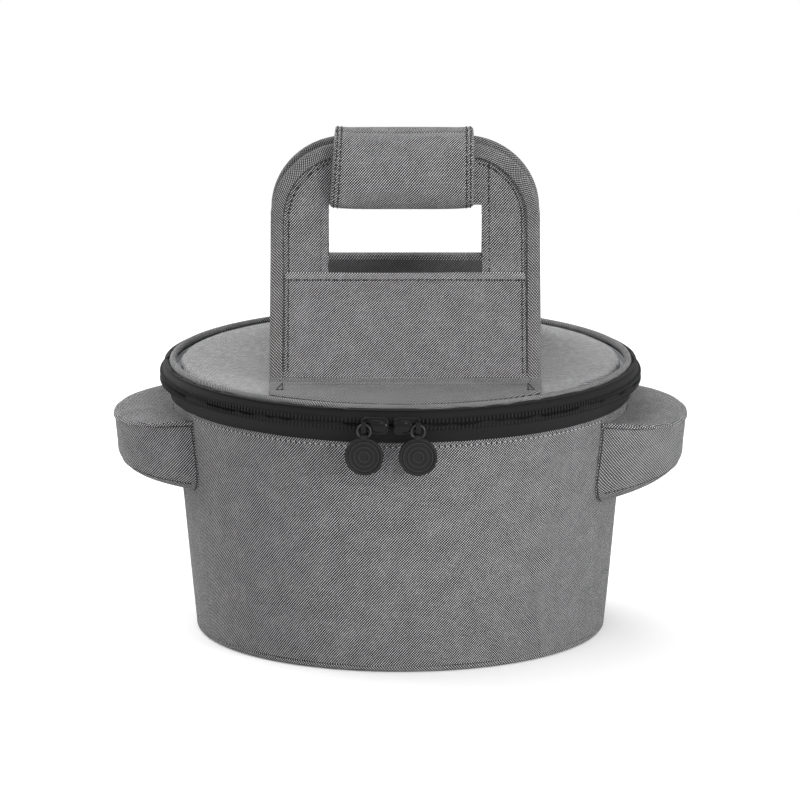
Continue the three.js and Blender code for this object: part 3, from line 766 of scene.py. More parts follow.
@lru_cache(maxsize=None)
def wall_turn(inset, height, wide, end):
    """The furthest turn of the outline, towards one end, that still lies outside the wall."""
    low, high = 0.6, math.pi / 2
    for _ in range(24):
        middle = (low + high) / 2
        point = lug_point(end * middle, inset, wide)
        if math.hypot(point.x, point.y) > wall_radius(height) + WALL_GAP:
            low = middle
        else:
            high = middle
    return end * low


@lru_cache(maxsize=None)
def lug_walk(inset, height, wide):
    """The outline from wall to wall as points, with the length walked at each."""
    first = wall_turn(inset, height, wide, -1)
    last = wall_turn(inset, height, wide, 1)
    turns = [first + (last - first) * i / WALK_STEPS for i in range(WALK_STEPS + 1)]
    points = [lug_point(turn, inset, wide) for turn in turns]
    walked = [0.0]
    for start, end in zip(points, points[1:]):
        walked.append(walked[-1] + (end - start).length)
    return points, walked


def lug_edge(across, inset, height, wide):
    """A point of the outline at a share of the way from the wall round to the wall."""
    points, walked = lug_walk(inset, height, wide)
    goal = across * walked[-1]
    i = min(max(bisect(walked, goal), 1), len(walked) - 1)
    part = (goal - walked[i - 1]) / (walked[i] - walked[i - 1])
    place = points[i - 1].lerp(points[i], part)
    place.z = height
    return place


def at_wall(place):
    """The point on the wall straight inwards from a place."""
    reach = wall_radius(place.z) + WALL_GAP
    return Vector((math.sqrt(max(0.0, reach * reach - place.y * place.y)), place.y, place.z))


lug_line = [lug_edge(i / 60, 0, LUG_TOP, LUG_HALF_WIDTH) for i in range(61)]
LUG_GIRTH = sum((b - a).length for a, b in zip(lug_line, lug_line[1:]))
print("a pocket is", round(LUG_GIRTH / MM, 1), "mm round from wall to wall")

# %% How a pocket's shell lies
SHELL_SIDE, SHELL_EDGE = 0.34, 0.61
SHELL_BULGE = 0.9 * MM
LUG_SLUMP = 0.09
LUG_SAG = {"right": 6.5 * MM, "left": 1.2 * MM}
LUG_WIDE = {"right": 68 * MM, "left": LUG_HALF_WIDTH}


def lug_shell(side):
    """How the shell lies. The right-hand pocket sags at the tub and reaches a little further forward."""

    def lay(across, up):
        down = 1 - up
        inset, height = 0, LUG_TOP + (LUG_BOTTOM + LUG_LOW_EDGE - LUG_TOP) * down / SHELL_SIDE
        if down > SHELL_SIDE:
            roll = min(1, (down - SHELL_SIDE) / (SHELL_EDGE - SHELL_SIDE)) * math.pi / 2
            inset = LUG_EDGE * (1 - math.cos(roll))
            height = LUG_BOTTOM + LUG_LOW_EDGE * (1 - math.sin(roll))
        place = lug_edge(across, inset, height, LUG_WIDE[side])
        if down > SHELL_EDGE:
            place = place.lerp(at_wall(place), (down - SHELL_EDGE) / (1 - SHELL_EDGE))
        bulge = SHELL_BULGE * math.sin(math.pi * min(1, down / SHELL_EDGE)) * soft(place, 0.03, 2)
        place = lug_drawn_in(place)
        share = (place.x - LUG_ROOT) / LUG_REACH
        slump = LUG_SLUMP * (LUG_TOP - place.z) * share * share
        low = max(0, 1 - share) * min(1, down / SHELL_EDGE) * LUG_SAG[side]
        return place + Vector((bulge - slump, 0, -low))

    return lay


print("pockets sag by", {side: round(sag / MM, 1) for side, sag in LUG_SAG.items()}, "mm")

# %% How a pocket's top lies
LUG_FABRIC = 1.6 * MM
LIP_OVER = 0.4 * MM
LIP_DROP = 1.1 * MM
LIP_SHARE = 0.07
TOP_CROWN = 1.6 * MM
TOP_UNEVEN = 0.5 * MM


def lug_top(side):
    """How the top lies: rolled over the shell at its edge, crowned, and sewn to the wall."""

    def lay(across, up):
        edge = lug_edge(across, -LIP_OVER, LUG_TOP, LUG_WIDE[side])
        edge.z += LUG_FABRIC + WALL_GAP
        place = edge.lerp(at_wall(edge), up)
        rolled = min(1, up / LIP_SHARE)
        crown = TOP_CROWN * math.sin(math.pi * min(1, up * 1.15)) + TOP_UNEVEN * soft(place, 0.025, 4)
        place = lug_drawn_in(place)
        place.z += crown * rolled - LIP_DROP * (1 - rolled) ** 2
        return place

    return lay


def lipped_map(place, normal):
    """A flat map on top, and one that runs round the outline at the rolled lip."""
    if abs(normal.z) > 0.8:
        return (place.x, place.y)
    way = math.copysign(1, place.x)
    return (LUG_REACH * math.atan2(way * place.y, abs(place.x) - LUG_ROOT), place.z)


def half_turned(lay):
    """The same cloth on the other side of the tub."""

    def turned_lay(across, up):
        place = lay(across, up)
        return Vector((-place.x, -place.y, place.z))

    return turned_lay


def as_laid(lay):
    return lay


LUG_TURNS = {"right": as_laid, "left": half_turned}
print("tops are crowned by", round(TOP_CROWN / MM, 1), "mm")

# %% Pocket shells and tops
SHELL_SIZE = (LUG_GIRTH, 80 * MM)
TOP_SIZE = (LUG_GIRTH, 40 * MM)
SHELL_LOOK = {"right": "pocket_twill", "left": "grey_twill"}
for side, turn_to in LUG_TURNS.items():
    shell = cloth(side + "_pocket_shell", 64, 30, SHELL_SIZE, turn_to(lug_shell(side)), LUG_FABRIC)
    dress(shell, SHELL_LOOK[side], "tub", side + "_lug_pocket_shell")
    top = cloth(side + "_pocket_top", 64, 18, TOP_SIZE, turn_to(lug_top(side)), LUG_FABRIC)
    mapped(top, lipped_map)
    dress(top, "grey_twill", "tub", side + "_lug_pocket_top")

# %% [markdown]
# ## The zip band
# A black tape bulges out between tub and lid. Its lower half belongs to the tub and its upper half to the
# lid, and the two overlap in a small lip, so that no light shows between them. Each carries a coil, whose
# turns show as a row of small upright teeth. At the rear the tape has no coil: there it is a plain gusset
# that bends as the lid's hinge. One section line, followed round the band, makes each of the three.

# %% Zip tapes
GUSSET_HALF_ANGLE = math.radians(30)
GUSSET_GAP = math.radians(0.25)
ZIP_LEVEL = 160 * MM
TAPE = 1.0 * MM
TAPE_WAVE = 0.15 * MM
LOWER_TAPE = [(142.9, 147.6), (143.6, 150.5), (145.6, 153.6), (147.4, 156), (148.2, 157.6), (148.6, 160.4)]
UPPER_TAPE = [(147.4, 159.5), (147.5, 160.3), (148.4, 161), (148.3, 162.6)]
UPPER_TAPE += [(147.9, 164.6), (147.1, 166.4), (146, 167.7), (144.6, 168.9)]
HINGE_TAPE = LOWER_TAPE + UPPER_TAPE[2:]


def line_length(points):
    return sum(math.dist(a, b) for a, b in zip(points, points[1:]))


def on_line(points, share):
    """A point at a share of the way along a line of points in millimetres, in metres."""
    left = share * line_length(points)
    for start, end in zip(points, points[1:]):
        step = math.dist(start, end)
        if left <= step:
            break
        left -= step
    part = min(1, left / step)
    return tuple((a + (b - a) * part) * MM for a, b in zip(start, end))


def tape_sheet(name, section, middle, span, columns):
    def lay(across, up):
        radius, height = on_line(section, up)
        angle = middle + span * (across - 0.5)
        wave = TAPE_WAVE * soft((angle * 0.15, 0, 0), 0.02, 6)
        return round_place(radius + wave, angle, height)

    size = (span * RIM_RADIUS, line_length(section) * MM)
    return cloth(name, columns, 4 * (len(section) - 1), size, lay, TAPE)


zip_span = FULL_TURN - 2 * (GUSSET_HALF_ANGLE + GUSSET_GAP)
dress(tape_sheet("lower_tape", LOWER_TAPE, 0, zip_span, 150), "black_tape", "tub", "lower_zip_tape")
dress(tape_sheet("upper_tape", UPPER_TAPE, 0, zip_span, 150), "black_tape", "lid", "upper_zip_tape")
gusset = tape_sheet("hinge_gusset_tape", HINGE_TAPE, math.pi, 2 * GUSSET_HALF_ANGLE, 40)
gusset.data.materials.clear()
gusset.data.materials.append(FINISHES["black_tape"])
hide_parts("hinge_gusset")
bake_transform(gusset)

# %% Zip teeth
TOOTH_PITCH = 2.45 * MM
TOOTH = rounded_grain((0.8 * MM, 1.1 * MM, 1.75 * MM), 8, 6)
TOOTH_RADIUS = 148.5 * MM
COIL_OFF = 2.05 * MM


def coil(name, height, body, node):
    count = int(zip_span * TOOTH_RADIUS / TOOTH_PITCH)
    matrices = []
    for i in range(count):
        angle = zip_span * ((i + 0.5) / count - 0.5)
        place = Matrix.Translation(round_place(TOOTH_RADIUS, angle, height))
        matrices.append(place @ Matrix.Rotation(angle, 4, "Z"))
    return dress(scattered(name, TOOTH, matrices), "black_coil", body, node)


coil("lower_coil", ZIP_LEVEL - COIL_OFF, "tub", "lower_zip_coil")
coil("upper_coil", ZIP_LEVEL + COIL_OFF, "lid", "upper_zip_coil")

# %% [markdown]
# ## The lid
# The lid is a padded disc in a fat piping, with a dark groove between the two. A disc with a bevel would
# look stamped, so the pad is simulated: a slightly smaller disc is remeshed, blown up as cloth for twenty
# frames, and its points may move only a little.

# %% Blowing up a pad
PAD_PRESSURE = 4.0
PAD_FRAMES = 20


def puffed(piece, voxel, reach):
    """Swells a closed mesh as cloth, with no point moving further than reach."""
    pick(piece)
    remesh = piece.modifiers.new("remesh", "REMESH")
    remesh.mode = "VOXEL"
    remesh.voxel_size = voxel
    bpy.ops.object.modifier_apply(modifier=remesh.name)
    calm = piece.modifiers.new("calm", "SMOOTH")
    calm.iterations = 3
    bpy.ops.object.modifier_apply(modifier=calm.name)
    before = [vertex.co.copy() for vertex in piece.data.vertices]
    simulate(piece)
    for vertex, start in zip(piece.data.vertices, before):
        move = vertex.co - start
        if move.length > reach:
            vertex.co = start + move.normalized() * reach
    refine = piece.modifiers.new("refine", "SUBSURF")
    refine.levels = refine.render_levels = 1
    apply_modifiers(piece)
    smooth(piece, 60)
    return piece


def simulate(piece):
    swell = piece.modifiers.new("swell", "CLOTH")
    swell.settings.use_pressure = True
    swell.settings.uniform_pressure_force = PAD_PRESSURE
    swell.settings.effector_weights.gravity = 0
    swell.settings.quality = 5
    swell.collision_settings.use_collision = False
    swell.point_cache.frame_start = 1
    swell.point_cache.frame_end = PAD_FRAMES
    for frame_number in range(1, PAD_FRAMES + 1):
        bpy.context.scene.frame_set(frame_number)
    bpy.ops.object.modifier_apply(modifier=swell.name)
    bpy.context.scene.frame_set(1)


print("pads swell for", PAD_FRAMES, "frames")

# %% Lid pad
LID_RADIUS, _, LID_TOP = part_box("lid_top_panel")[1]
PAD_SHRINK = 1.2 * MM
PAD_EDGE = 2.4 * MM
PAD_VOXEL = 3.5 * MM
PAD_SWELL = 0.5 * MM
PAD_LIFT = 0.2 * MM
PAD_ROOM = 0.6 * MM
pad_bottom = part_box("lid_foam")[0].z + PAD_LIFT
pad_top = LID_TOP - PAD_ROOM
edge_turns = [math.pi / 2 * i / 4 for i in range(5)]
pad_outline = [(0, pad_bottom), (LID_RADIUS * 0.6, pad_bottom), (LID_RADIUS - PAD_SHRINK, pad_bottom)]
for a in edge_turns:
    reach = LID_RADIUS - PAD_SHRINK - PAD_EDGE * (1 - math.cos(a))
    pad_outline.append((reach, pad_top - PAD_EDGE * (1 - math.sin(a))))
pad_outline += [(LID_RADIUS * 0.6, pad_top), (0, pad_top)]
lid_pad = puffed(turned("lid_pad", pad_outline, 96), PAD_VOXEL, PAD_SWELL)
mapped(lid_pad, flat_map)
# The pad's twill is lighter than the rest of the cloth: painted light for the light and sheen on the lid's
# top.
dress(lid_pad, "lit_lid_twill", "lid", "lid_top_panel", "lid_foam")

# %% Lid piping and lining
PIPING_WIDTH = 4.5 * MM
piping_low, piping_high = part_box("lid_piping")
piping_half = (piping_high.z - piping_low.z) / 2
piping_middle = (piping_high.x - PIPING_WIDTH / 2, (piping_low.z + piping_high.z) / 2)
lid_piping = turned("lid_piping_cord", oval_outline(piping_middle, PIPING_WIDTH / 2, piping_half, 18))
mapped(lid_piping, ring_map(*piping_middle, 2 * piping_half))
dress(lid_piping, "bias_twill", "lid", "lid_piping")

lining_low, lining_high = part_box("lid_lining")
lid_lining = turned(
    "lid_lining_cloth",
    [
        (0, lining_low.z),
        (LID_RADIUS * 0.7, lining_low.z),
        (lining_high.x - 1 * MM, lining_low.z),
        (lining_high.x, lining_low.z + 1 * MM),
        (lining_high.x, lining_high.z),
        (lining_high.x - 0.8 * MM, lining_high.z),
        (lining_high.x - 0.9 * MM, lining_low.z + 1.4 * MM),
        (LID_RADIUS * 0.7, lining_low.z + 0.9 * MM),
        (0, lining_low.z + 0.9 * MM),
    ],
)
dress(lid_lining, "silver_lining", "lid", "lid_lining")

# %% [markdown]
# ## Seams inside
# Where the zip tape is sewn to the lining, a narrow black tape covers the raw edges. It shows only when the
# lid is open, and without it light would come in between lining and tape. Two more turned rings are enough
# for it.

# %% Seam tapes inside
SEAM_TAPE = 4 * MM
LID_SEAM = [(139.6, 165.5), (141.3, 165.8), (142.6, 166.1), (143.7, 166.8), (144.7, 167.6)]
LID_SEAM += [(144.3, 168), (143.3, 167.3), (142.4, 166.6), (141.2, 166.3), (139.6, 166)]
TUB_SEAM = [(141.5, 151.6), (143.6, 151.9), (143.6, 152.2), (141.5, 152)]
for body, outline in (("lid", LID_SEAM), ("tub", TUB_SEAM)):
    seam = turned(body + "_seam_tape", [(radius * MM, height * MM) for radius, height in outline])
    mapped(seam, ring_map(outline[1][0] * MM, outline[1][1] * MM, SEAM_TAPE))
    dress(seam, "black_tape", body)

# %% [markdown]
# ## The handles
# Each handle is a padded panel that stands on a fold in the lid, leans inwards and curves up to a bar. Seen
# from the front it is an arch with a window for the hand. A flat panel could be bent by a modifier, but
# then every later strip and stitch would need the same bend. Instead `face_at` follows the outer face of
# that curve: given a height and a depth behind the face, it answers with a point.

# %% The curve of a handle
HANDLE_SHIFT = 3 * MM
HANDLE_HALF = 83.2 * MM
HANDLE_CORNER = 47 * MM
HANDLE_FOOT = 171.1 * MM
HANDLE_TOP = 308 * MM
BAR_FOOT = 270 * MM
WINDOW_HALF = 48.2 * MM
WINDOW_SILL = 229 * MM
BAR_LEAN = math.radians(8)
BEND_RADIUS = 80 * MM
PANEL_DEPTH = 1.3 * MM
PANEL = 3 * MM
FOLD = Vector((-83 * MM, 172 * MM))
bar_foot = Vector((-15 * MM - (HANDLE_TOP - BAR_FOOT) * math.tan(BAR_LEAN), BAR_FOOT))


def up_along(lean):
    return Vector((math.sin(lean), math.cos(lean)))


def outward_from(lean):
    return Vector((-math.cos(lean), math.sin(lean)))


bend_centre = bar_foot + outward_from(BAR_LEAN) * BEND_RADIUS
to_centre = bend_centre - FOLD
straight_length = math.sqrt(to_centre.length_squared - BEND_RADIUS**2)
PANEL_LEAN = math.atan2(to_centre.x, to_centre.y) + math.atan2(BEND_RADIUS, straight_length)
straight_top = FOLD.y + straight_length * math.cos(PANEL_LEAN)


def face_at(x, height, depth):
    """A point of the front handle, a depth behind its outer face at a height."""
    if height <= straight_top:
        lean = PANEL_LEAN
        place = FOLD + up_along(lean) * ((height - FOLD.y) / math.cos(lean))
    elif height < BAR_FOOT:
        lean = math.asin((bend_centre.y - height) / BEND_RADIUS)
        place = bend_centre - outward_from(lean) * BEND_RADIUS
    else:
        lean = BAR_LEAN
        place = bar_foot + up_along(lean) * ((height - BAR_FOOT) / math.cos(lean))
    place = place - outward_from(lean) * depth
    return Vector((x, place.x, place.y))


print("panel leans", round(math.degrees(PANEL_LEAN), 1), "degrees")


# %% Mapping a handle's face
def face_run(height):
    """Length up along the outer face, from the fold to a height."""
    if height <= straight_top:
        return (height - FOLD.y) / math.cos(PANEL_LEAN)
    if height < BAR_FOOT:
        lean = math.asin((bend_centre.y - height) / BEND_RADIUS)
        return straight_length + BEND_RADIUS * (PANEL_LEAN - lean)
    return straight_length + BEND_RADIUS * (PANEL_LEAN - BAR_LEAN) + (height - BAR_FOOT) / math.cos(BAR_LEAN)


def face_map(place, normal):
    """Cloth map of a handle's face: across it as its viewer sees it, and up along it."""
    return (math.copysign(1, -normal.y) * place.x, face_run(place.z))


def behind(lay):
    """The same cloth on the rear handle: mirrored front to back, and turned so that it faces outwards."""

    def mirrored_lay(across, up):
        place = lay(1 - across, up)
        return Vector((place.x, -place.y, place.z))

    return mirrored_lay


SIDES = {"front": as_laid, "rear": behind}
WAYS = {"front": -1, "rear": 1}
print("a panel is", round(face_run(HANDLE_TOP) / MM, 1), "mm long along its face")

# %% Panels with a window
PANEL_COLUMNS = [-1, -WINDOW_HALF / HANDLE_HALF, WINDOW_HALF / HANDLE_HALF, 1]
COLUMNS_BETWEEN = [10, 28, 10]
PANEL_ROWS = [HANDLE_FOOT, WINDOW_SILL, BAR_FOOT, HANDLE_TOP]
PANEL_ROWS_BETWEEN = [16, 12, 12]
PANEL_UNEVEN = 0.25 * MM


def half_width(height, inset):
    """Half the arch's width at a height, drawn in by an inset."""
    corner = HANDLE_CORNER - inset
    rise = height - (HANDLE_TOP - HANDLE_CORNER)
    if rise <= 0:
        return HANDLE_HALF - inset
    return HANDLE_HALF - HANDLE_CORNER + math.sqrt(max(0.0, corner * corner - rise * rise))


def panel_place(across, up):
    height = stepped(up, PANEL_ROWS, PANEL_ROWS_BETWEEN)
    if height > BAR_FOOT:
        rise = (height - BAR_FOOT) / (HANDLE_TOP - BAR_FOOT)
        height = BAR_FOOT + (HANDLE_TOP - PANEL_DEPTH - BAR_FOOT) * math.sin(rise * math.pi / 2)
    x = HANDLE_SHIFT + stepped(across, PANEL_COLUMNS, COLUMNS_BETWEEN) * half_width(height, PANEL_DEPTH)
    return face_at(x, height, PANEL_DEPTH + PANEL_UNEVEN * soft((x, height, 0), 0.03, 8))


def in_window(place):
    return abs(place.x - HANDLE_SHIFT) < WINDOW_HALF and WINDOW_SILL < place.z < BAR_FOOT - 1 * MM


PANEL_SIZE = (2 * HANDLE_HALF, 1.15 * (HANDLE_TOP - HANDLE_FOOT))
PANEL_GRID = (sum(COLUMNS_BETWEEN), sum(PANEL_ROWS_BETWEEN))
for side, placed in SIDES.items():
    panel = cloth(side + "_panel", *PANEL_GRID, PANEL_SIZE, placed(panel_place))
    cut_faces(panel, in_window)
    thicken(panel, PANEL)
    mapped(panel, face_map)
    dress(panel, "grey_twill", side + "_handle", side + "_handle_panel")
    second_finish(panel, "facing_twill", lambda face: face.normal.y * WAYS[side] < 0)

# %% [markdown]
# ## Binding, pocket and hems
# The arch's edge is wrapped in a strip of a slightly darker twill. A curve with a bevel would give a round
# cord, so the strip is a grid that follows the arch's outline one way and folds round the edge the other
# way. The front panel carries a flat pocket with a turned hem, and the window's edges are turned over in the
# same way. The pocket's hem and the windows' sills get a lighter twill: painted highlight where their folds
# face up.

# %% Bindings
BINDING_SECTION = [(9, 0.1), (6.5, -0.25), (3, 0), (1.3, 0.5), (0.4, 1.4), (0, 2.8)]
BINDING_SECTION += [(0.4, 4.2), (1.3, 5.1), (3, 5.6), (6.5, 5.75), (9, 5.5)]
BINDING_FABRIC = 1 * MM
BINDING_UNEVEN = 0.15 * MM
side_length = HANDLE_TOP - HANDLE_CORNER - HANDLE_FOOT
arc_length = HANDLE_CORNER * math.pi / 2
top_length = 2 * (HANDLE_HALF - HANDLE_CORNER)
binding_length = 2 * side_length + 2 * arc_length + top_length


def arch(run, inset):
    """The (x, height) of a point on the arch's outline, a run from its left foot and drawn in by an inset."""
    if run > binding_length / 2:
        x, height = arch(binding_length - run, inset)
        return 2 * HANDLE_SHIFT - x, height
    if run < side_length:
        return HANDLE_SHIFT - HANDLE_HALF + inset, HANDLE_FOOT + run
    if run < side_length + arc_length:
        turn = (run - side_length) / HANDLE_CORNER
        reach = HANDLE_CORNER - inset
        x = HANDLE_SHIFT - HANDLE_HALF + HANDLE_CORNER - reach * math.cos(turn)
        return x, HANDLE_TOP - HANDLE_CORNER + reach * math.sin(turn)
    x = HANDLE_SHIFT - HANDLE_HALF + HANDLE_CORNER + run - side_length - arc_length
    return x, HANDLE_TOP - inset


def binding_place(across, up):
    inset, depth = on_line(BINDING_SECTION, up)
    x, height = arch(across * binding_length, inset)
    return face_at(x, height, depth + BINDING_UNEVEN * soft((x, height, depth), 0.02, 9))


BINDING_SIZE = (binding_length, line_length(BINDING_SECTION) * MM)
for side, placed in SIDES.items():
    binding = cloth(side + "_binding", 160, 24, BINDING_SIZE, placed(binding_place), BINDING_FABRIC)
    dress(binding, "edge_twill_and_foot_shade", side + "_handle", side + "_handle_binding")

# %% Front pocket
POCKET_HALF = 73.9 * MM
POCKET_HEM = 230.6 * MM
POCKET_FABRIC = 1 * MM
POCKET_SIZE = (2 * POCKET_HALF, 1.25 * (POCKET_HEM - HANDLE_FOOT))
HEM_WIDTH = 3.4 * MM
HEM_ROUND = 0.5 * MM
HEM_PROUD = 0.3 * MM
HEM_FABRIC = 0.6 * MM


def pocket_place(across, up):
    x = HANDLE_SHIFT + (2 * across - 1) * POCKET_HALF
    height = HANDLE_FOOT + up * (POCKET_HEM - HANDLE_FOOT)
    middle = math.sin(math.pi * across) * math.sin(math.pi * up)
    return face_at(x, height, -(0.9 + 0.3 * soft((x, height, 0), 0.04, 10)) * MM * middle**2)


def hem_place(across, up):
    x = HANDLE_SHIFT + (2 * across - 1) * POCKET_HALF
    height = POCKET_HEM - HEM_WIDTH * (1 - up)
    round_over = HEM_ROUND * (1 - (2 * up - 1) ** 4)
    return face_at(x, height + 0.2 * MM * up, -HEM_PROUD - round_over)


pocket = cloth("front_pocket", 56, 24, POCKET_SIZE, pocket_place, POCKET_FABRIC)
mapped(pocket, face_map)
dress(pocket, "grey_twill", "front_handle", "front_handle_pocket")
pocket_hem = cloth("front_pocket_hem", 56, 5, (2 * POCKET_HALF, HEM_WIDTH), hem_place, HEM_FABRIC)
mapped(pocket_hem, face_map)
# The hem's lighter twill is a painted highlight on its fold, which faces up.
dress(pocket_hem, "highlit_hem_twill", "front_handle")

# %% Hems of the windows
WINDOW_HEIGHT = BAR_FOOT - WINDOW_SILL
SILL_SIZE = (2 * WINDOW_HALF, 9 * MM)
SILL_DROP = 3.2 * MM
JAMB_SIZE = (WINDOW_HEIGHT, 12 * MM)
JAMB_BACK = 4.2 * MM
TURNED_PROUD = 0.6 * MM
TURNED_FABRIC = 0.5 * MM


def turned_edge(up):
    """How deep a turned edge lies, and what share of its hem it reaches back, round the panel's edge."""
    turn = math.pi * up
    depth = PANEL_DEPTH + PANEL / 2 + (PANEL / 2 + TURNED_FABRIC) * math.cos(turn)
    return depth, max(0, 1 - math.sin(turn) * 1.25)


def sill_place(across, up):
    depth, back = turned_edge(up)
    x = HANDLE_SHIFT + (1 - 2 * across) * (WINDOW_HALF - 0.2 * MM)
    return face_at(x, WINDOW_SILL + TURNED_PROUD - SILL_DROP * back, depth)


def jamb_place(end):
    """How the turned edge lies on one upright of the window."""

    def lay(across, up):
        depth, back = turned_edge(up)
        height = WINDOW_SILL + WINDOW_HEIGHT * (1 - across if end > 0 else across)
        x = HANDLE_SHIFT + end * (WINDOW_HALF - TURNED_PROUD + JAMB_BACK * back)
        return face_at(x, height, depth)

    return lay


for side, placed in SIDES.items():
    sill = cloth(side + "_sill_hem", 48, 12, SILL_SIZE, placed(sill_place), TURNED_FABRIC)
    # The sill's lighter twill is a painted highlight on its fold, which faces up.
    dress(sill, "highlit_hem_twill", side + "_handle")
    for end, hand in ((-1, "left"), (1, "right")):
        name = f"{side}_{hand}_jamb_hem"
        jamb = cloth(name, 16, 12, JAMB_SIZE, placed(jamb_place(end)), TURNED_FABRIC)
        mapped(jamb, face_map)
        dress(jamb, "grey_twill", side + "_handle")

# %% [markdown]
# ## Feet and folds
# Below its fold each handle goes on as a flat foot that is sewn onto the lid, out to the piping. The foot
# rides on the lid and the panel on its own joint, and a strip of cloth over the fold is given to neither of
# the two.

# %% Sewn feet and folds
BASE_TOP = FOLD.y
BASE_NEAR = 84.2 * MM
BASE_INSET = 1.4 * MM
BASE_PRESSED = 1.4 * MM
PRESSED_WIDTH = 5 * MM
BASE_UNEVEN = 0.15 * MM
BASE_SIZE = (2 * HANDLE_HALF, 53 * MM)
BASE_FABRIC = 0.6 * MM
FOLD_RISE = 2.4 * MM
FOLD_SHARE = 0.4
FOLD_FLAT = 6 * MM
FOLD_PROUD = 0.2 * MM
FOLD_SIZE = (2 * HANDLE_HALF, 12 * MM)
FOLD_FABRIC = 0.1 * MM


def base_place(across, up):
    x = HANDLE_SHIFT + (2 * across - 1) * HANDLE_HALF
    reach = math.sqrt((LID_RADIUS - BASE_INSET) ** 2 - x * x)
    y = -reach + (reach - BASE_NEAR) * up
    pressed = BASE_PRESSED * max(0, 1 - (reach + y) / PRESSED_WIDTH) ** 2
    return Vector((x, y, BASE_TOP - pressed + BASE_UNEVEN * soft((x, y, 0), 0.02, 11)))


def fold_place(across, up):
    x = HANDLE_SHIFT + (2 * across - 1) * (HANDLE_HALF - 0.5 * MM)
    if up < FOLD_SHARE:
        return Vector((x, FOLD.x - FOLD_FLAT * (1 - up / FOLD_SHARE), BASE_TOP + FOLD_PROUD))
    return face_at(x, FOLD.y + FOLD_RISE * (up - FOLD_SHARE) / (1 - FOLD_SHARE), -FOLD_PROUD)


for side, placed in SIDES.items():
    foot_cloth = cloth(side + "_foot", 48, 20, BASE_SIZE, placed(base_place), BASE_FABRIC)
    mapped(foot_cloth, flat_map)
    # The feet take the darker binding twill: painted shade for the shade that falls on them under the fold.
    dress(foot_cloth, "edge_twill_and_foot_shade", "lid", side + "_handle_base")
    fold_cloth = cloth(side + "_fold", 40, 10, FOLD_SIZE, placed(fold_place), FOLD_FABRIC)
    fold_cloth.data.materials.append(FINISHES["grey_twill"])
    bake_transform(fold_cloth)
    print(fold_cloth.name, "bends between lid and handle")

# %% [markdown]
# ## The grip
# Two foam pads wrap the bars and meet on hook-and-loop strips. A capsule would be too round, so each pad is
# a section pushed along the bar, then remeshed and blown up as cloth. Its flat inner face must stay behind
# the strips, so it is pressed back after. The real cover sits a little crooked, and so does this one.

# %% The grip's section
GRIP_SHIFT = 2 * MM
GRIP_HALF = 44.75 * MM
GRIP_LOW = 266.5 * MM
GRIP_HIGH = 314 * MM
GRIP_NEAR = 1.6 * MM
GRIP_FAR = 26.5 * MM
GRIP_END = 0.5 * MM
GRIP_BEVEL = 1.2 * MM
GRIP_SECTION = [(0, 0.06), (0.18, 0.02), (0.66, 0.02), (0.86, 0.05), (0.96, 0.14), (0.975, 0.4)]
GRIP_SECTION += [(0.91, 0.72), (0.785, 0.88), (0.57, 0.97), (0.36, 0.985), (0, 0.985)]


def grip_point(share):
    out, rise = share
    return GRIP_NEAR + out * (GRIP_FAR - GRIP_NEAR), GRIP_LOW + rise * (GRIP_HIGH - GRIP_LOW)


def grip_form(name, way):
    """The plain shape of one pad, before it swells."""
    deselect()
    bpy.ops.mesh.primitive_circle_add(vertices=len(GRIP_SECTION), radius=1, fill_type="NGON")
    piece = bpy.context.object
    piece.name = piece.data.name = name
    for vertex, share in zip(piece.data.vertices, GRIP_SECTION):
        y, height = grip_point(share)
        vertex.co = (GRIP_SHIFT - GRIP_HALF + GRIP_END, way * y, height)
    bpy.ops.object.mode_set(mode="EDIT")
    bpy.ops.mesh.select_all(action="SELECT")
    along_bar = {"value": (2 * (GRIP_HALF - GRIP_END), 0, 0)}
    bpy.ops.mesh.extrude_region_move(TRANSFORM_OT_translate=along_bar)
    bpy.ops.mesh.select_all(action="SELECT")
    bpy.ops.mesh.normals_make_consistent(inside=False)
    bpy.ops.mesh.bevel(offset=GRIP_BEVEL, segments=2)
    bpy.ops.object.mode_set(mode="OBJECT")
    return piece


print("the grip is", round(2 * GRIP_HALF / MM, 1), "mm long")

# %% Mapping the grip
grip_corners = [Vector(grip_point(share)) for share in GRIP_SECTION]
grip_centre = Vector(grip_point((0.35, 0.5)))
grip_line = [a.lerp(b, i / 12) for a, b in zip(grip_corners, grip_corners[1:]) for i in range(12)]
grip_turns = [math.atan2(p.y - grip_centre.y, p.x - grip_centre.x) for p in grip_line]
grip_runs = [0]
for start, end in zip(grip_line, grip_line[1:]):
    grip_runs.append(grip_runs[-1] + (end - start).length)


def grip_run(out, height):
    """Length along the grip's section, from its lower inner corner to a point of it."""
    turn = math.atan2(height - grip_centre.y, out - grip_centre.x)
    after = min(max(bisect(grip_turns, turn), 1), len(grip_turns) - 1)
    share = (turn - grip_turns[after - 1]) / (grip_turns[after] - grip_turns[after - 1])
    return grip_runs[after - 1] + share * (grip_runs[after] - grip_runs[after - 1])


def grip_map(way):
    def rule(place, normal):
        if abs(normal.x) > 0.8:
            return (place.y, place.z)
        return (-way * place.x, grip_run(way * place.y, place.z))

    return rule


print("the grip is", round(grip_runs[-1] / MM, 1), "mm round its section")


# %% How the cover sits
def grip_skew(x, height):
    """The cover sits a little crooked: its left end is wider at the bottom."""
    rise = (height - GRIP_LOW) / (GRIP_HIGH - GRIP_LOW)
    off = (x - GRIP_SHIFT) / GRIP_HALF
    if off < 0:
        return x + off * off * (3.5 * rise - 1.6) * MM
    return x - off * off * 0.9 * MM


def grip_sag(x, height):
    """The cover's top dips between its stiff ends, which stand up a little."""
    rise = max(0, (height - GRIP_LOW) / (GRIP_HIGH - GRIP_LOW))
    off = min(1, abs(x - GRIP_SHIFT) / GRIP_HALF)
    return (2.4 * off**8 - 1.1) * rise * rise * MM


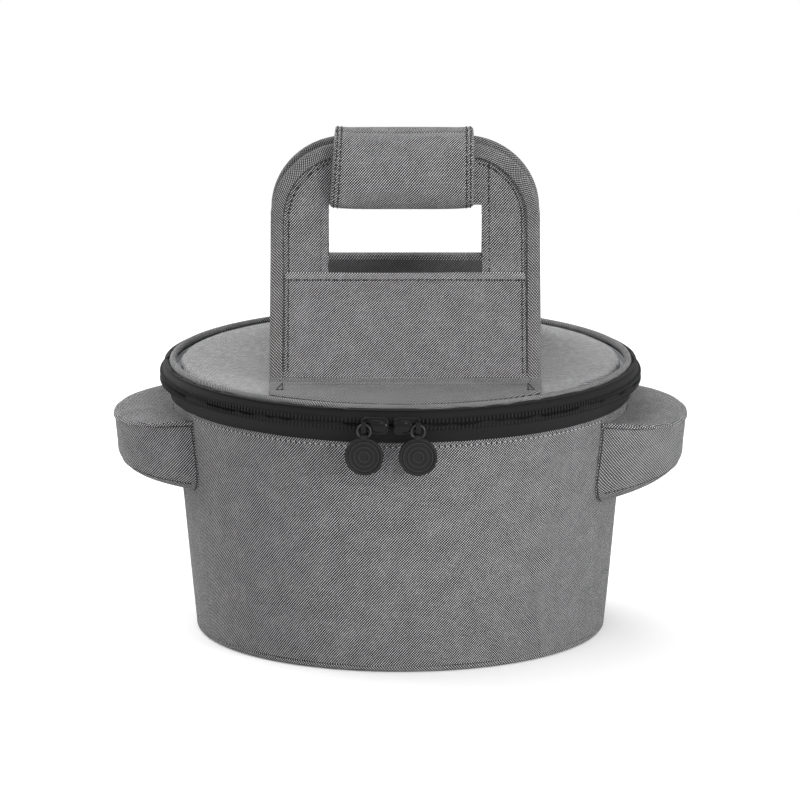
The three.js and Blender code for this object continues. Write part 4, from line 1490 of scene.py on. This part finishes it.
print("the cover dips by", round(-grip_sag(GRIP_SHIFT, GRIP_HIGH) / MM, 1), "mm")

# %% Grip pads
GRIP_VOXEL = 2.2 * MM
GRIP_SWELL = 0.9 * MM
GRIP_STITCH_ROWS = [2.4 * MM, 5.2 * MM]
DENT_WIDTH = 1.3 * MM
DENT_DEPTH = 0.5 * MM
GRIP_CORE = (12 * MM, 292 * MM)
GRIP_PRESSED = GRIP_NEAR - 0.1 * MM
for side, way in WAYS.items():
    pad = puffed(grip_form(side + "_grip_pad", way), GRIP_VOXEL, GRIP_SWELL)
    for vertex in pad.data.vertices:
        from_end = GRIP_HALF - abs(vertex.co.x - GRIP_SHIFT)
        dent = max(0, 1 - min(abs(from_end - row) for row in GRIP_STITCH_ROWS) / DENT_WIDTH)
        centre = Vector((vertex.co.x, way * GRIP_CORE[0], GRIP_CORE[1]))
        vertex.co += (centre - vertex.co).normalized() * dent * DENT_DEPTH
        vertex.co.z += grip_sag(vertex.co.x, vertex.co.z)
        vertex.co.y = way * max(GRIP_PRESSED, way * vertex.co.y)
    mapped(pad, grip_map(way))
    for vertex in pad.data.vertices:
        vertex.co.x = grip_skew(vertex.co.x, vertex.co.z)
    # The pads' twill is lighter than the panel's: painted light for the light that the rounded grip catches.
    dress(pad, "lit_grip_twill", side + "_handle", side + "_grip_cover", side + "_grip_foam")

# %% Hook and loop strips
STRIP_HALF = 38 * MM
STRIP_SIZE = (2 * STRIP_HALF, 15 * MM)
for side, node in (("front", "grip_hook_strip"), ("rear", "grip_loop_strip")):
    way = WAYS[side]
    strip_low, strip_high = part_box(node)
    face = strip_high.y if way < 0 else strip_low.y

    def strip_place(across, up):
        x = GRIP_SHIFT + way * (2 * across - 1) * STRIP_HALF
        return Vector((x, face, strip_low.z + up * (strip_high.z - strip_low.z)))

    strip = cloth(node + "_tape", 40, 8, STRIP_SIZE, strip_place, strip_high.y - strip_low.y)
    dress(strip, "hook_tape", side + "_handle", node)

# %% [markdown]
# ## Sliders, rings and pull discs
# Two black sliders meet nose to nose at the front. Each carries a wire ring, and each ring a round rubber
# pull with three raised circles. They are hard and small, so plain modelling suits them: bevelled boxes for
# the slider, a torus for the ring and a turned outline for the pull. They are built at the front of the
# band and then turned about the upright axis, so that left and right share one drawing.

# %% Places of the pulls
PULL_RADIUS = 154.85 * MM
PLATE_RADIUS = 151.55 * MM
RING_HEIGHT = 157.2 * MM
DISC_HEIGHT = 141.7 * MM
DISC_RADIUS = 11.75 * MM
DISC_HALF = 1.5 * MM
FACING = Matrix.Rotation(math.radians(90), 4, "X")
SIDEWAYS = Matrix.Rotation(math.radians(90), 4, "Y")
BAR_OUT = 6.4 * MM
print("pull discs are", round(2 * DISC_RADIUS / MM, 1), "mm across")


# %% Hard shapes
def rounded_box(name, size, corner, edge):
    """A plate that lies in the x-z plane, with round corners and soft edges."""
    deselect()
    bpy.ops.mesh.primitive_cube_add(size=1)
    piece = bpy.context.object
    piece.name = piece.data.name = name
    piece.data.transform(Matrix.Diagonal((*size, 1)))
    for width, kind in ((corner, "corners"), (edge, "edges")):
        modifier = piece.modifiers.new(kind, "BEVEL")
        modifier.width = width
        modifier.segments = 5
        modifier.limit_method = "WEIGHT" if kind == "corners" else "ANGLE"
        modifier.angle_limit = math.radians(50)
    weights = piece.data.attributes.new("bevel_weight_edge", "FLOAT", "EDGE")
    for edge_line in piece.data.edges:
        start, end = (piece.data.vertices[i].co for i in edge_line.vertices)
        weights.data[edge_line.index].value = 1.0 if abs(start.y - end.y) > size[1] / 2 else 0.0
    apply_modifiers(piece)
    smooth(piece, 35)
    return piece


def joined(name, pieces):
    deselect()
    for piece in pieces:
        piece.select_set(True)
    bpy.context.view_layer.objects.active = pieces[0]
    bpy.ops.object.join()
    pieces[0].name = pieces[0].data.name = name
    return pieces[0]


def wire_ring(name, radius, wire):
    deselect()
    segments = {"major_segments": 40, "minor_segments": 12}
    bpy.ops.mesh.primitive_torus_add(major_radius=radius, minor_radius=wire, **segments)
    piece = bpy.context.object
    piece.name = piece.data.name = name
    piece.data.transform(FACING)
    smooth(piece, 60)
    return piece


print("boxes can be rounded, rings bent and parts joined")

# %% A slider
PLATE_SIZE = (17 * MM, 2 * MM, 11 * MM)
CROWN_HALF = (6.6 * MM, 2.2 * MM, 4.2 * MM)
CROWN_IN = 1.6 * MM
BRIDGE_WIDTH = 3 * MM
BRIDGE_PARTS = [(156.4, 157.7, 152, 157), (162.3, 163.6, 152, 157), (156.4, 163.6, 156.2, 157.1)]


def slider(name, outward):
    """A plate with a domed crown, and a bridge of two posts and a bar for the ring."""
    plate = rounded_box(name, PLATE_SIZE, 3.7 * MM, 0.8 * MM)
    plate.data.transform(Matrix.Translation((0, -PLATE_RADIUS, ZIP_LEVEL)))
    deselect()
    bpy.ops.mesh.primitive_uv_sphere_add(segments=32, ring_count=16, radius=1)
    crown = bpy.context.object
    crown.data.transform(Matrix.Diagonal((*CROWN_HALF, 1)))
    crown.data.transform(Matrix.Translation((-CROWN_IN * outward, -PLATE_RADIUS - 1 * MM, ZIP_LEVEL)))
    smooth(crown, 60)
    parts = [plate, crown]
    for low, high, near, far in BRIDGE_PARTS:
        size = (BRIDGE_WIDTH, (far - near) * MM, (high - low) * MM)
        part = rounded_box(name + "_bridge", size, 0.4 * MM, 0.3 * MM)
        middle = (BAR_OUT * outward, -(near + far) / 2 * MM, (low + high) / 2 * MM)
        part.data.transform(Matrix.Translation(middle))
        parts.append(part)
    return joined(name, parts)


print("a slider is", round(PLATE_SIZE[0] / MM, 1), "mm long")

# %% A pull disc
DISC_RIDGES = (9.0, 6.2, 3.4)
RIDGE_SECTION = [(0.9, -0.75), (0.45, -0.7), (0.15, -0.1), (-0.35, -0.02), (-0.8, -0.7)]
SLEEVE_SECTION = [(1.3, -1.5), (1.5, -1.7), (1.9, -1.7), (2.1, -1.5)]
SLEEVE_SECTION += [(2.1, 1.5), (1.9, 1.7), (1.5, 1.7), (1.3, 1.5)]


def pull_disc(name):
    """A disc with raised circles on its face, and a small sleeve at its top for the ring."""
    outline = [(0, -DISC_HALF), (DISC_RADIUS - 0.9 * MM, -DISC_HALF), (DISC_RADIUS, -DISC_HALF + 0.8 * MM)]
    outline += [(DISC_RADIUS, DISC_HALF - 1 * MM), (DISC_RADIUS - 0.3 * MM, DISC_HALF - 0.3 * MM)]
    outline += [(DISC_RADIUS - 1.2 * MM, DISC_HALF)]
    for ridge in DISC_RIDGES:
        for step, height in RIDGE_SECTION:
            outline.append(((ridge + step) * MM, DISC_HALF + height * MM))
    outline += [(2.0 * MM, DISC_HALF - 0.75 * MM), (0, DISC_HALF - 0.75 * MM)]
    face = turned(name, outline, 64)
    face.data.transform(Matrix.Translation((0, 0, DISC_HEIGHT)) @ FACING)
    sleeve = turned(name + "_sleeve", [(r * MM, h * MM) for r, h in SLEEVE_SECTION], 24)
    sleeve.data.transform(Matrix.Translation((0, 0, DISC_HEIGHT + DISC_RADIUS)) @ SIDEWAYS)
    return joined(name, [face, sleeve])


def on_ridge(place):
    return place.z > DISC_HALF - 0.4 * MM and math.hypot(place.x, place.y) < 10.4 * MM


print("a pull has", len(DISC_RIDGES), "raised circles")

# %% Both zip pulls
RING_RADIUS = 4 * MM
RING_WIRE = 0.8 * MM
for side, outward, turn in (("right", 1, 1.581), ("left", -1, -5.781)):
    about = Matrix.Rotation(math.radians(turn), 4, "Z")
    bar = Matrix.Translation((BAR_OUT * outward, -PULL_RADIUS, 0))
    body = slider(side + "_slider_body", outward)
    body.data.transform(about)
    dress(body, "black_metal", side + "_slider", side + "_zip_slider")
    ring = wire_ring(side + "_ring_wire", RING_RADIUS, RING_WIRE)
    ring.data.transform(about @ bar @ Matrix.Translation((0, 0, RING_HEIGHT)))
    dress(ring, "bright_wire", side + "_ring", side + "_pull_ring")
    pull = pull_disc(side + "_pull_rubber")
    pull.data.transform(about @ bar)
    dress(pull, "black_rubber", side + "_disc", side + "_pull_disc")
    to_disc = (about @ bar @ Matrix.Translation((0, 0, DISC_HEIGHT)) @ FACING).inverted()
    # The raised circles get a lighter rubber: a painted highlight for the light that the ridges catch.
    second_finish(pull, "highlit_ridge_rubber", lambda face: on_ridge(to_disc @ face.center))

# %% [markdown]
# ## Seams
# With all cloth in place, the thread goes on: a row under the band, rows round the pockets, two rows inside
# each binding, one under the pocket's hem and double rows at the ends of the grip. Each row asks the same
# function that laid the cloth, so it lies on the cloth, and stops where another piece covers it.

# %% Seams of the tub
TOPSTITCH = 144.6 * MM
TOPSTITCH_PITCH = 3.7 * MM
THREAD_PROUD = 0.15 * MM
POCKET_PITCH = 2.6 * MM
SEAM_SHADE_PITCH = 1.5 * MM


def rim_row(first, last):
    """A row on the wall between two angles, so that it stops at the pockets."""
    angles = [math.radians(first + (last - first) * i / 120) for i in range(121)]
    return [round_place(wall_radius(TOPSTITCH) + THREAD_PROUD, a, TOPSTITCH) for a in angles]


stitches("rim_topstitch", [rim_row(-64, 60.5), rim_row(116, 244)], "tub", TOPSTITCH_PITCH, "light_thread")
stitches("rim_backstitch", [rim_row(-63.3, 60.5), rim_row(116.7, 244)], "tub", TOPSTITCH_PITCH)


def lug_rows(side, turn_to):
    """A row round a pocket's lower edge, and dense rows where its shell meets the wall: overlapping stitches
    that make one dark line, the seam with painted shade in its gap.
    """
    shares = [i / 80 for i in range(81)]
    shell_lay = turn_to(lug_shell(side))
    low_row = [shell_lay(a, 1 - SHELL_SIDE - 0.13) for a in shares[2:-2]]
    seam_shade_rows = [[shell_lay(a, 0.99 - 0.6 * s) for s in shares] for a in (0.006, 0.994)]
    stitches(side + "_pocket_thread", [low_row], "tub", POCKET_PITCH)
    stitches(side + "_pocket_seam", seam_shade_rows, "tub", SEAM_SHADE_PITCH)


for side, turn_to in LUG_TURNS.items():
    lug_rows(side, turn_to)

# %% Seams of the arches
ROW_STEPS = 200
ROW_START = 5 * MM
ARCH_PITCH = 2.4 * MM
BINDING_ROW = 8.3 * MM
PANEL_ROW = 11.4 * MM
ON_BINDING = -0.1 * MM
BEHIND_BINDING = 5.65 * MM
ON_PANEL = PANEL_DEPTH - 0.1 * MM


def under_grip(place):
    return abs(place.x - GRIP_SHIFT) < GRIP_HALF and place.z > GRIP_LOW


def arch_row(inset, depth, way):
    """Two lines that follow the arch from each foot up to the grip."""
    lines = [[], []]
    for i in range(ROW_STEPS + 1):
        run = binding_length * i / ROW_STEPS
        x, height = arch(run, inset)
        place = face_at(x, height, depth(height))
        if height > HANDLE_FOOT + ROW_START and not under_grip(place):
            lines[run > binding_length / 2].append(Vector((place.x, -way * place.y, place.z)))
    return lines


def on_front(height):
    """The front panel's seam lies on the pocket up to its hem, and on the panel above."""
    return ON_BINDING if height < POCKET_HEM else ON_PANEL


for side, way in WAYS.items():
    rows = arch_row(BINDING_ROW, lambda height: ON_BINDING, way)
    rows += arch_row(PANEL_ROW, on_front if side == "front" else (lambda height: ON_PANEL), way)
    rows += arch_row(BINDING_ROW, lambda height: BEHIND_BINDING, way)
    stitches(side + "_arch_thread", rows, side + "_handle", ARCH_PITCH)

# %% Seams of the hem and window
HEM_SEAM = POCKET_HEM - HEM_WIDTH - 0.4 * MM
JAMB_SEAM = WINDOW_HALF + 3.4 * MM
JAMB_TOP = HANDLE_TOP - 9 * MM
hem_row = []
jamb_row = []
for i in range(41):
    x = HANDLE_SHIFT - POCKET_HALF + 2 * POCKET_HALF * i / 40
    hem_row.append(face_at(x, HEM_SEAM, -THREAD_PROUD))
    height = POCKET_HEM + (JAMB_TOP - POCKET_HEM) * i / 40
    jamb_row.append(face_at(HANDLE_SHIFT + JAMB_SEAM, height, PANEL_DEPTH - 0.25 * MM))
stitches("front_hem_thread", [hem_row, jamb_row], "front_handle", POCKET_PITCH)

# %% Seams of the grip
GRIP_PITCH = 2.9 * MM


def on_surface(piece, points):
    """The points of a line, moved onto a piece."""
    found = []
    for point in points:
        _, place, normal, _ = piece.closest_point_on_mesh(point)
        found.append(place + normal * 0.1 * MM)
    return found


bpy.context.view_layer.update()
for side, way in WAYS.items():
    pad = bpy.data.objects[side + "_grip_pad"]
    lines = []
    for end in (-1, 1):
        for row in GRIP_STITCH_ROWS:
            x = GRIP_SHIFT + end * (GRIP_HALF - row)
            corners = [Vector((x, way * y, z)) for y, z in map(grip_point, GRIP_SECTION)]
            points = [a.lerp(b, i / 8) for a, b in zip(corners, corners[1:]) for i in range(8)]
            for point in points:
                point.x = grip_skew(point.x, point.z)
            lines.append(on_surface(pad, points))
    stitches(side + "_grip_thread", lines, side + "_handle", GRIP_PITCH, bold=1.3)

# %% Seams of the feet
FOOT_ROWS = (86 * MM, 105 * MM)
FOOT_SEAM = BASE_TOP + 0.2 * MM
for side, way in WAYS.items():
    triangles = []
    for end in (-1, 1):
        near_x = HANDLE_SHIFT + end * (HANDLE_HALF - BINDING_ROW)
        far_x = HANDLE_SHIFT + end * (HANDLE_HALF - 4.5 * MM)
        corners = [(near_x, FOOT_ROWS[0]), (near_x, FOOT_ROWS[1]), (far_x, FOOT_ROWS[1])]
        corner, low_near, low_far = [Vector((x, way * y, FOOT_SEAM)) for x, y in corners]
        triangles += [[corner, low_near], [corner, low_far], [low_far, low_near]]
    stitches(side + "_foot_thread", triangles, "lid", ARCH_PITCH)

# %% [markdown]
# ## Light and floor
# The carrier stands on white in even studio light. A pale surround gives most of it. Four round lamps shape
# it: a broad one behind on the left, which lightens the lid and the far edges, a fill from the right front,
# a weak one overhead, and a small one in front that leaves glints on the sliders. The surround and the
# floor are whiter for the camera, for reflections and for glass than for the light on the cloth, so the
# ground shows white without more light on the carrier.

# %% Lights
LIT_PLACE = Vector((0, 0, 0.15))


def soft_light(name, place, size, power):
    lamp = bpy.data.lights.new(name, "AREA")
    lamp.shape = "DISK"
    lamp.size = size
    lamp.energy = power
    lamp_object = bpy.data.objects.new(name, lamp)
    lamp_object.location = place
    aim = LIT_PLACE - Vector(place)
    lamp_object.rotation_mode = "QUATERNION"
    lamp_object.rotation_quaternion = aim.to_track_quat("-Z", "Y")
    bpy.context.scene.collection.objects.link(lamp_object)
    print(name, "gives", power, "W")


soft_light("overhead", (0.3, -0.4, 3.0), 2.6, 13)
soft_light("right_fill", (2.3, -2.2, 0.9), 1.2, 52)
soft_light("left_rear", (-1.8, 1.9, 1.9), 3.6, 86)
soft_light("glint", (0.5, -3.0, 1.9), 0.14, 8)

# %% Surround
AMBIENT = 0.7


def in_view(wire):
    """One for rays from the camera, in mirror images and through glass, and nothing for other light."""
    camera_ray = wire.node("LightPath", output="Is Camera Ray")
    mirrored = wire.node("LightPath", output="Is Glossy Ray")
    through = wire.node("LightPath", output="Is Transmission Ray")
    return camera_ray.math("MAXIMUM", mirrored.math("MAXIMUM", through))


world = bpy.data.worlds.new("surround")
bpy.context.scene.world = world
world.use_nodes = True
surround = Wire(world.node_tree)
background = world.node_tree.nodes["Background"]
background.inputs["Color"].default_value = (1, 1, 1, 1)
surround.plug(background.inputs["Strength"], in_view(surround) * (1 - AMBIENT) + AMBIENT)
print("the surround lights the cloth at", AMBIENT)

# %% Floor
FLOOR_RADIUS = 1.3
PAPER = (0.75, 0.75, 0.75)
PAPER_SEEN = (0.98, 0.98, 0.98)
PAPER_GLOW = (0.17, 0.17, 0.17)
deselect()
bpy.ops.mesh.primitive_circle_add(vertices=96, radius=FLOOR_RADIUS, fill_type="NGON")
floor = bpy.context.object
floor.name = "floor"
paper = bpy.data.materials.new("paper")
paper.use_nodes = True
paper_wire = Wire(paper.node_tree)
paper_shader = paper.node_tree.nodes["Principled BSDF"]
paper_shader.inputs["Roughness"].default_value = 0.9
paper_shader.inputs["Specular IOR Level"].default_value = 0.1
paper_seen = in_view(paper_wire)
paper_wire.plug(paper_shader.inputs["Base Color"], paper_seen.mixed(PAPER, PAPER_SEEN))
paper_wire.plug(paper_shader.inputs["Emission Color"], paper_seen.mixed((0, 0, 0), PAPER_GLOW))
paper_shader.inputs["Emission Strength"].default_value = 1
floor.data.materials.append(paper)
print("the floor is", 2 * FLOOR_RADIUS, "m across")
